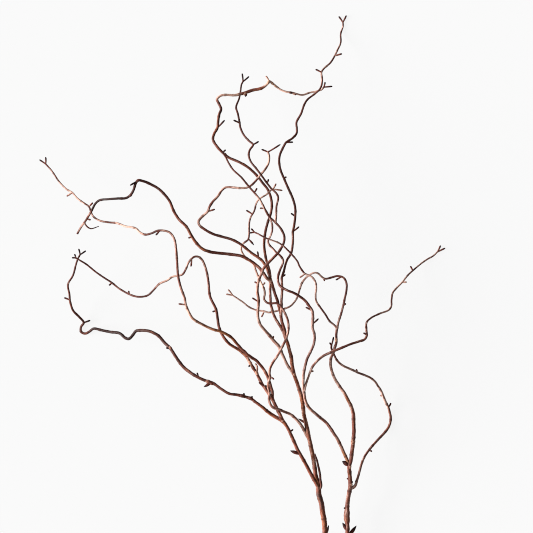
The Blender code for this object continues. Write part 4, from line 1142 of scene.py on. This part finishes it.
class Route:
    """The way of one branch through space, in millimetres of the drawing."""

    def __init__(self, waypoints: Sequence[Vector], phase: int) -> None:
        """Run a smooth line through the waypoints and let it curl."""
        smooth = self._smooth(waypoints)
        flat = self._distances(smooth)
        curl = Curl()
        self.points = [
            point + Vector((0, 0, curl.lift(along, point.z, phase))) for point, along in zip(smooth, flat)
        ]
        self.along = self._distances(self.points)

    @staticmethod
    def _distances(points: Sequence[Vector]) -> list[float]:
        """Return how far along the line each point lies."""
        along = [0.0]
        for one, other in zip(points, points[1:]):
            along.append(along[-1] + (other - one).length)
        return along

    @staticmethod
    def _smooth(points: Sequence[Vector]) -> list[Vector]:
        """Return points about SAMPLE apart along a centripetal Catmull-Rom curve."""
        ends = [2 * points[0] - points[1], *points, 2 * points[-1] - points[-2]]
        route = []
        for before, start, end, after in zip(ends, ends[1:], ends[2:], ends[3:]):
            knots = [0.0]
            for one, other in ((before, start), (start, end), (end, after)):
                knots.append(knots[-1] + math.sqrt((other - one).length))
            steps = max(2, round((end - start).length / SAMPLE))
            for step in range(steps):
                knot = knots[1] + (knots[2] - knots[1]) * step / steps
                first = before.lerp(start, knot / knots[1])
                second = start.lerp(end, (knot - knots[1]) / (knots[2] - knots[1]))
                third = end.lerp(after, (knot - knots[2]) / (knots[3] - knots[2]))
                left = first.lerp(second, knot / knots[2])
                right = second.lerp(third, (knot - knots[1]) / (knots[3] - knots[1]))
                route.append(left.lerp(right, (knot - knots[1]) / (knots[2] - knots[1])))
        route.append(points[-1])
        return route

    def nearest(self, x: float, y: float) -> int:
        """Return the number of the point that lies nearest in the plan."""
        target = Vector((x, y))
        return min(range(len(self.points)), key=lambda index: (self.points[index].xy - target).length)

    def share(self, index: int) -> float:
        """Return how far along the branch one point lies, as a share of its length."""
        return self.along[index] / self.along[-1]

    def tangent(self, index: int) -> Vector:
        """Return the direction towards the tip at one point."""
        low, high = max(0, index - 1), min(len(self.points) - 1, index + 1)
        return (self.points[high] - self.points[low]).normalized()


def in_frame(point: Vector) -> Vector:
    """Return a point of the drawing in the frame, in metres."""
    return Vector(((point.x - MIDDLE[0]) * MM, (point.y - MIDDLE[1]) * MM, point.z * MM))


@dataclass(frozen=True)
class Bud:
    """One bud, spur or tip: where it grows from and to, in millimetres, and its tone, which is partly how
    pale or dark it is and partly painted shade and painted highlight.
    """

    root: Vector
    tip: Vector
    girth: float
    tone: float


@dataclass
class Stem:
    """One cut stem with all its branches. Sizes are millimetres, and swells are shares of the girth.

    Knots are where leaves grew, and a leaf bud sits on each. Knobs are low lumps of bark, and
    spurs are the blunt side buds and forked tips that the solids have too.
    """

    node: str
    slot: str
    branches: dict[str, Branch]
    bark: BarkFinish
    seed: int
    sides: int = 14
    relief: float = 0.17
    cut_depth: float = 0.5
    collar_swell: float = 0.22
    collar_reach: float = 4.5
    knot_pitch: float = 27.0
    knot_first: float = 0.6
    knot_last: float = 0.4
    knot_spread: Edge = (0.75, 1.3)
    knot_reach: float = 1.6
    knot_swell: float = 0.13
    leaf_bud_turn: float = math.radians(144)
    leaf_bud_stray: float = 0.3
    leaf_bud_tilt: float = math.radians(6)
    leaf_bud_depth: float = 0.76
    leaf_bud_length: Edge = (1.8, 2.7)
    leaf_bud_girth: float = 0.95
    knob_length: float = 1.8
    knob_rise: float = 0.3
    plump_tone: float = 0.0
    spur_girth: float = 2.8
    spur_rise: float = 1.4
    spur_lowest: float = 0.8
    tip_girth: float = 2.7
    tip_sunk: float = 1.6
    cap_reach: float = 0.25
    cap_swell: float = 1.05

    def __post_init__(self) -> None:
        """Start the stem's own random draws and lay out its routes."""
        self.draw = random.Random(self.seed)
        self.routes = self._routes()

    def _routes(self) -> dict[str, Route]:
        """Return every branch's route, rooted in the branch that it grows from."""
        routes = {}
        for number, (name, branch) in enumerate(self.branches.items()):
            waypoints = [Vector(point) for point in branch.route]
            if branch.parent:
                start = waypoints[0]
                waypoints[0] = min(routes[branch.parent].points, key=lambda point: (point - start).length)
            routes[name] = Route(waypoints, number)
        return routes

    def radius(self, name: str, along: float) -> float:
        """Return a branch's radius at a distance from its root."""
        branch, route = self.branches[name], self.routes[name]
        radius = between_stops(branch.girth, along / route.along[-1]) / 2
        if branch.parent:
            radius *= 1 + self.collar_swell * math.exp(-along / self.collar_reach)
        return radius

    def knots(self, name: str) -> Iterator[tuple[int, float]]:
        """Yield the place of each leaf knot on a branch, as a point's number and its distance."""
        route = self.routes[name]
        distance = self.knot_first * self.knot_pitch
        while distance < route.along[-1] - self.knot_last * self.knot_pitch:
            index = min(range(len(route.along)), key=lambda i: abs(route.along[i] - distance))
            yield index, distance
            distance += self.knot_pitch * self.draw.uniform(*self.knot_spread)

    def rails(self) -> tuple[bpy.types.Mesh, list[Bud]]:
        """Lay out the lines that the bark is swept along, and the leaf buds on them.

        Returns:
            The lines as a mesh that carries girths and marks, and the leaf buds.
        """
        points, edges, buds = [], [], []
        carried = {key: [] for key in ("girth", "along", "tone", "grey", "amber", "knot", "collar")}
        for name, branch in self.branches.items():
            route = self.routes[name]
            knots = list(self.knots(name))
            for count, (index, _) in enumerate(knots):
                buds.append(self._leaf_bud(name, index, count))
            for index, (point, along) in enumerate(zip(route.points, route.along)):
                knot = sum(math.exp(-(((along - place) / self.knot_reach) ** 2)) for _, place in knots)
                collar = math.exp(-along / self.collar_reach) if branch.parent else 0.0
                if index:
                    edges.append((len(points) - 1, len(points)))
                sunk = route.tangent(0) * self.cut_depth if not (branch.parent or index) else Vector()
                points.append(in_frame(point + sunk))
                carried["girth"].append(self.radius(name, along) * (1 + self.knot_swell * knot) * MM)
                carried["along"].append(along * MM)
                carried["knot"].append(knot)
                carried["collar"].append(collar)
                # the tone stops carry painted shade and painted highlight to the bark, beside the grey and
                # golden bark
                for mark in ("tone", "grey", "amber"):
                    carried[mark].append(between_stops(getattr(branch, mark), route.share(index)))
        return carried_mesh(self.node + "_rails", points, edges, carried), buds

    def _leaf_bud(self, name: str, index: int, count: int) -> Bud:
        """Return a small bud pressed to its twig, a turn on from the one below it."""
        route = self.routes[name]
        tangent = route.tangent(index)
        side = tangent.cross(Vector((0, 0, 1))).normalized()
        angle = count * self.leaf_bud_turn + self.draw.uniform(-self.leaf_bud_stray, self.leaf_bud_stray)
        out = math.cos(angle) * side + math.sin(angle) * side.cross(tangent)
        radius = self.radius(name, route.along[index])
        root = route.points[index] + out * radius * self.leaf_bud_depth
        length = self.draw.uniform(*self.leaf_bud_length)
        aim = math.cos(self.leaf_bud_tilt) * tangent + math.sin(self.leaf_bud_tilt) * out
        # the leaf bud takes the branch's tone there, painted shade and painted highlight included
        tone = between_stops(self.branches[name].tone, route.share(index))
        return Bud(root, root + aim * length, self.leaf_bud_girth, tone)

    def knobs_of_bark(self) -> list[Bud]:
        """Return the low knobs that old leaves and twigs left along the upper side."""
        knobs = []
        for name, branch in self.branches.items():
            route = self.routes[name]
            for x, y, width, tone in branch.knobs:
                index = route.nearest(x, y)
                reach = route.tangent(index) * width * self.knob_length / 2
                middle = route.points[index].copy()
                middle.xy = (middle.xy + Vector((x, y))) / 2
                middle.z += self.radius(name, route.along[index]) * self.knob_rise
                knobs.append(Bud(middle - reach, middle + reach, width, tone))
        return knobs

    def traced_buds(self) -> tuple[list[Bud], list[Bud]]:
        """Return the plump buds on thick wood and the blunt spurs and tips of thin twigs.

        Returns:
            The plump buds and the blunt ones, where the solids have them.
        """
        plump, blunt = [], []
        for name, branch in self.branches.items():
            route = self.routes[name]
            for count, (root_x, root_y, tip_x, tip_y, *girth) in enumerate(branch.buds):
                index = route.nearest(root_x, root_y)
                root = route.points[index]
                rise = self.spur_rise * (-1) ** count
                tip = Vector((tip_x, tip_y, max(root.z + rise, self.spur_lowest)))
                if girth:
                    plump.append(Bud(root, tip, girth[0], self.plump_tone))
                else:
                    # spurs and tips take the branch's tone too, painted shade and painted highlight included
                    tone = between_stops(branch.tone, route.share(index))
                    blunt.append(Bud(root, tip, self.spur_girth, tone))
            last = len(route.points) - 1
            end, tangent = route.points[last], route.tangent(last)
            tone = branch.tone[-1][1]
            for x, y in branch.fork:
                tip = Vector((x, y, end.z))
                blunt.append(Bud(end - tangent * self.tip_sunk, tip, self.tip_girth, tone))
            if not branch.fork:
                girth = 2 * self.radius(name, route.along[-1])
                tip = end + tangent * self.cap_reach
                blunt.append(Bud(end - tangent * girth, tip, girth * self.cap_swell, tone))
        return plump, blunt

    def cut_end(self) -> tuple[Vector, Vector, float]:
        """Return where the stem is cut, the direction out of the cut and the radius there."""
        route = self.routes["stem"]
        return in_frame(route.points[0]), -route.tangent(0), self.radius("stem", 0.0) * MM

    def build(
        self, trees: "Trees", bud: bpy.types.Material, wood: bpy.types.Material
    ) -> list[bpy.types.Object]:
        """Build the stem's pieces and fasten them to the part.

        Args:
            trees: The trees that sweep bark and set buds.
            bud: The buds' material.
            wood: The material of the cut end.

        Returns:
            The pieces.
        """
        rails, leaf_buds = self.rails()
        plump, blunt = self.traced_buds()
        sizes = {"Sides": self.sides, "Relief": self.relief, "Material": self.bark.material()}
        pieces = [
            trees.bark.run(self.node + "_bark", rails, sizes),
            trees.set_buds(self.node + "_leaf_buds", leaf_buds, BudShape.LEAF_BUD, bud),
            trees.set_buds(self.node + "_buds", plump, BudShape.PLUMP_BUD, bud),
            trees.set_buds(self.node + "_spurs", blunt, BudShape.SPUR, bud),
            trees.set_buds(self.node + "_knobs", self.knobs_of_bark(), BudShape.KNOB, trees.knob_bark),
            trees.cut_disc(self.node + "_cut_end", *self.cut_end(), wood),
        ]
        for piece in pieces:
            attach(piece, "root")
            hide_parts(self.node)
        return pieces


class BudShape(Enum):
    """Outlines of a bud or knob, as (share of the length, share of the girth)."""

    LEAF_BUD = (
        (0.0, 0.3), (0.06, 0.8), (0.16, 1.0), (0.3, 1.12), (0.5, 1.06), (0.7, 0.78), (0.86, 0.45),
        (1.0, 0.1),
    )
    PLUMP_BUD = (
        (0.0, 0.7), (0.12, 0.66), (0.24, 0.78), (0.36, 0.96), (0.48, 1.04), (0.62, 1.0), (0.75, 0.8),
        (0.87, 0.5), (0.96, 0.24), (1.0, 0.1),
    )
    SPUR = (
        (0.0, 0.9), (0.2, 0.86), (0.45, 0.92), (0.7, 1.0), (0.86, 0.92), (0.95, 0.68), (1.0, 0.3),
    )
    KNOB = (
        (0.0, 0.15), (0.08, 0.5), (0.2, 0.78), (0.38, 0.96), (0.58, 1.0), (0.78, 0.85), (0.92, 0.52),
        (1.0, 0.15),
    )


@dataclass
class Trees:
    """The trees and shapes that every stem is made with.

    A cut end's profile is (share of the radius, height in millimetres), from its rim to its pith.
    """

    lump_scale: float = 260.0
    bud_sides: int = 10
    bud_bend: float = 0.09
    cut_sides: int = 40
    cut_sunk: float = 0.25
    cut_profile: Stops = ((0.985, -0.4), (0.96, 0.0), (0.9, 0.12), (0.7, 0.16), (0.4, 0.17), (0.15, 0.12))

    def __post_init__(self) -> None:
        """Build the trees and the shapes that they repeat."""
        self.bark = self._bark_tree()
        self.buds = self._bud_tree()
        self.shapes = {shape: self._bud_shape(shape) for shape in BudShape}
        self.knob_bark = KNOB_FINISH.material()

    def _bark_tree(self) -> GeometryBench:
        """Build the tree that sweeps bark along rails that carry their girth."""
        bench = GeometryBench(
            "sweep_bark",
            {"Sides": "NodeSocketInt", "Relief": "NodeSocketFloat", "Material": "NodeSocketMaterial"},
        )
        rail = bench.step("GeometryNodeMeshToCurve", bench.given["Geometry"])
        ring = bench.add("GeometryNodeCurvePrimitiveCircle", None, {"Resolution": bench.given["Sides"]})
        ring = bench.step(
            "GeometryNodeStoreNamedAttribute",
            ring.outputs[0],
            {"data_type": "FLOAT_VECTOR", "domain": "POINT"},
            Name="rim",
            Value=bench.add("GeometryNodeInputPosition").outputs[0],
        )
        girth = bench.named("girth")
        skin = bench.step("GeometryNodeCurveToMesh", rail, Profile_Curve=ring, Scale=girth, Fill_Caps=True)
        place = bench.add("GeometryNodeInputPosition").outputs[0]
        noise = {"Vector": place, "Scale": self.lump_scale, "Detail": 2.0}
        lumps = bench.number("ShaderNodeTexNoise", None, noise)
        swell = (lumps - 0.5) * Number(bench, girth) * bench.given["Relief"] * 2.0
        push = bench.vector("SCALE", bench.add("GeometryNodeInputNormal").outputs[0], (0, 0, 0))
        bench.feed(push.node.inputs["Scale"], swell)
        skin = bench.step("GeometryNodeSetPosition", skin, Offset=push)
        bench.close(bench.inside_solids(skin), bench.given["Material"])
        return bench

    @staticmethod
    def _bud_tree() -> GeometryBench:
        """Build the tree that sets a bud on every point, turned to its aim and stretched to its size."""
        bench = GeometryBench("set_buds", {"Bud": "NodeSocketObject", "Material": "NodeSocketMaterial"})
        bud = bench.add("GeometryNodeObjectInfo", None, {"Object": bench.given["Bud"]}).outputs["Geometry"]
        aim = bench.named("aim", "FLOAT_VECTOR")
        turn = bench.add("FunctionNodeAlignRotationToVector", {"axis": "Z"}, {"Vector": aim})
        points = bench.step("GeometryNodeMeshToPoints", bench.given["Geometry"])
        set_buds = bench.step(
            "GeometryNodeInstanceOnPoints",
            points,
            Instance=bud,
            Rotation=turn.outputs[0],
            Scale=bench.named("size", "FLOAT_VECTOR"),
        )
        whole = bench.step("GeometryNodeRealizeInstances", set_buds)
        bench.close(bench.inside_solids(whole), bench.given["Material"])
        return bench

    def _bud_shape(self, shape: BudShape) -> bpy.types.Object:
        """Make one bud of unit length and girth along +Z, to be repeated.

        Args:
            shape: Its outline.

        Returns:
            An object that isn't shown.
        """
        loops = []
        for share, girth in shape.value:
            bend = self.bud_bend * math.sin(math.pi * share)
            loops.append([(x * girth / 2 + bend, y * girth / 2, share) for x, y in circle(self.bud_sides)])
        name = shape.name.lower()
        return bpy.data.objects.new(name, loft(name, loops, [share for share, _ in shape.value]))

    def set_buds(
        self, name: str, buds: list[Bud], shape: BudShape, material: bpy.types.Material
    ) -> bpy.types.Object:
        """Set buds where they grow.

        Args:
            name: The piece's name.
            buds: The buds.
            shape: The bud that is repeated.
            material: Its material.

        Returns:
            One piece with all of them.
        """
        carried = {
            "aim": [(bud.tip - bud.root).normalized() for bud in buds],
            "size": [Vector((bud.girth, bud.girth, (bud.tip - bud.root).length)) * MM for bud in buds],
            # the tone carried here is partly the bud's own lightness and partly painted shade and painted
            # highlight
            "tone": [bud.tone for bud in buds],
        }
        points = carried_mesh(name + "_points", [in_frame(bud.root) for bud in buds], [], carried)
        return self.buds.run(name, points, {"Bud": self.shapes[shape], "Material": material})

    def cut_disc(
        self, name: str, centre: Vector, out: Vector, radius: float, material: bpy.types.Material
    ) -> bpy.types.Object:
        """Make the face of a cut: a thin disc with a rounded rim, set into the bark's end.

        Args:
            name: The piece's name.
            centre: The middle of the cut, in metres.
            out: The direction out of the stem.
            radius: The stem's radius there.
            material: The cut wood.

        Returns:
            The disc.
        """
        turn = out.to_track_quat("Z", "Y")
        loops = []
        for share, height in self.cut_profile:
            loop = []
            for x, y in circle(self.cut_sides):
                out_of_pith = Vector((x, y, 0.0)) * share * radius
                point = centre + turn @ (out_of_pith + Vector((0, 0, (height - self.cut_sunk) * MM)))
                point.z = max(point.z, CAD_BOX[0][2])
                loop.append(point)
            loops.append(loop)
        mesh = loft(name, loops, [share for share, _ in self.cut_profile])
        mesh.materials.append(material)
        mesh.shade_smooth()
        return shown(name, mesh)


# pale, dark and deep are partly the bark's own colours and partly painted highlight and painted shade
LEFT_BARK = BarkFinish(
    name="reddish_willow_bark",
    young=(0.08, 0.022, 0.016),
    old=(0.15, 0.04, 0.023),
    pale=(0.46, 0.275, 0.215),
    dark=(0.042, 0.013, 0.009),
    deep=(0.015, 0.006, 0.005),
    warm=(0.24, 0.072, 0.023),
    grey=(0.11, 0.07, 0.06),
    amber=(0.22, 0.078, 0.024),
    lenticel=(0.45, 0.25, 0.16),
)
RIGHT_BARK = BarkFinish(
    name="brown_willow_bark",
    young=(0.085, 0.024, 0.018),
    old=(0.15, 0.042, 0.027),
    pale=(0.47, 0.29, 0.235),
    dark=(0.044, 0.013, 0.01),
    deep=(0.015, 0.007, 0.006),
    warm=(0.24, 0.074, 0.025),
    grey=(0.13, 0.09, 0.08),
    amber=(0.28, 0.1, 0.024),
    lenticel=(0.45, 0.28, 0.2),
)
# the buds' and knobs' pale is partly pale scale and partly painted highlight
BUD_FINISH = BudFinish(
    name="willow_bud_scale",
    root=(0.12, 0.03, 0.02),
    tip=(0.014, 0.005, 0.005),
    pale=(0.45, 0.26, 0.2),
)
KNOB_FINISH = BudFinish(
    name="willow_knob",
    root=(0.13, 0.035, 0.022),
    tip=(0.05, 0.014, 0.01),
    pale=(0.46, 0.26, 0.18),
    fall=0.0,
)


@dataclass(frozen=True)
class Studio:
    """The pale floor, the soft light from the left and the camera straight above."""

    frame_centre: tuple[float, float] = (0.0361, 0.09555)
    frame_width: float = 0.7995
    frame_height: float = 0.025
    camera_distance: float = 20.0
    sensor: float = 36.0
    floor_side: float = 12.0
    floor_drop: float = 0.0002
    floor_albedo: float = 0.06
    floor_glow: float = 0.88
    edge_softness: float = 1.0
    light_turn: float = math.radians(78)
    light_spread: float = math.radians(40)
    light_strength: float = 15.0
    sky: float = 0.24
    backdrop: float = 0.95

    def camera(self) -> None:
        """Look straight down, with the photograph's frame across the middle of the bunch."""
        data = bpy.data.cameras.new("camera")
        data.sensor_width = self.sensor
        data.lens = self.sensor * self.camera_distance / self.frame_width
        data.clip_end = 2 * self.camera_distance
        camera = shown("camera", data)
        camera.location = (*self.frame_centre, self.frame_height + self.camera_distance)
        bpy.context.scene.camera = camera

    def floor(self) -> None:
        """Lay the floor just under the bunch."""
        half = self.floor_side / 2
        mesh = bpy.data.meshes.new("floor")
        plan = ((-half, -half), (half, -half), (half, half), (-half, half))
        mesh.from_pydata([(x, y, -self.floor_drop) for x, y in plan], [], [(0, 1, 2, 3)])
        bench = ShaderBench("floor_paper")
        bench.give("Base Color", (*[self.floor_albedo] * 3, 1.0))
        bench.give("Roughness", 1.0)
        bench.give("Specular IOR Level", 0.0)
        bench.give("Emission Color", WHITE)
        bench.give("Emission Strength", self.floor_glow)
        mesh.materials.append(bench.material)
        shown("floor", mesh)

    def light(self) -> None:
        """Light the bunch softly from the left, with a dim even sky."""
        lamp = bpy.data.lights.new("window", "SUN")
        lamp.energy = self.light_strength
        lamp.angle = self.light_spread
        window = shown("window", lamp)
        window.rotation_euler = (0.0, -self.light_turn, 0.0)
        world = bpy.data.worlds.new("sky")
        world.use_nodes = True
        bench = Bench(world.node_tree)
        seen = Number(bench, bench.add("ShaderNodeLightPath").outputs["Is Camera Ray"])
        background = world.node_tree.nodes["Background"]
        bench.feed(background.inputs["Strength"], seen * (self.backdrop - self.sky) + self.sky)
        background.inputs["Color"].default_value = WHITE
        bpy.context.scene.world = world
        bpy.context.scene.view_settings.view_transform = "Standard"
        bpy.context.scene.cycles.filter_width = self.edge_softness


def main() -> None:
    """Build both stems and the studio, and report every piece."""
    logging.basicConfig(level=logging.INFO, format="%(name)s: %(message)s")
    trees = Trees()
    bud = BUD_FINISH.material()
    wood = CutWoodFinish().material()
    stems = (
        Stem("left_stem", "left_bark", LEFT_STEM, LEFT_BARK, seed=3),
        Stem("right_stem", "right_bark", RIGHT_STEM, RIGHT_BARK, seed=8),
    )
    for stem in stems:
        for piece in stem.build(trees, bud, wood):
            triangles = sum(len(face.vertices) - 2 for face in piece.data.polygons)
            LOG.info("%s: %d triangles", piece.name, triangles)
    studio = Studio()
    studio.floor()
    studio.light()
    studio.camera()


if __name__ == "__main__":
    main()
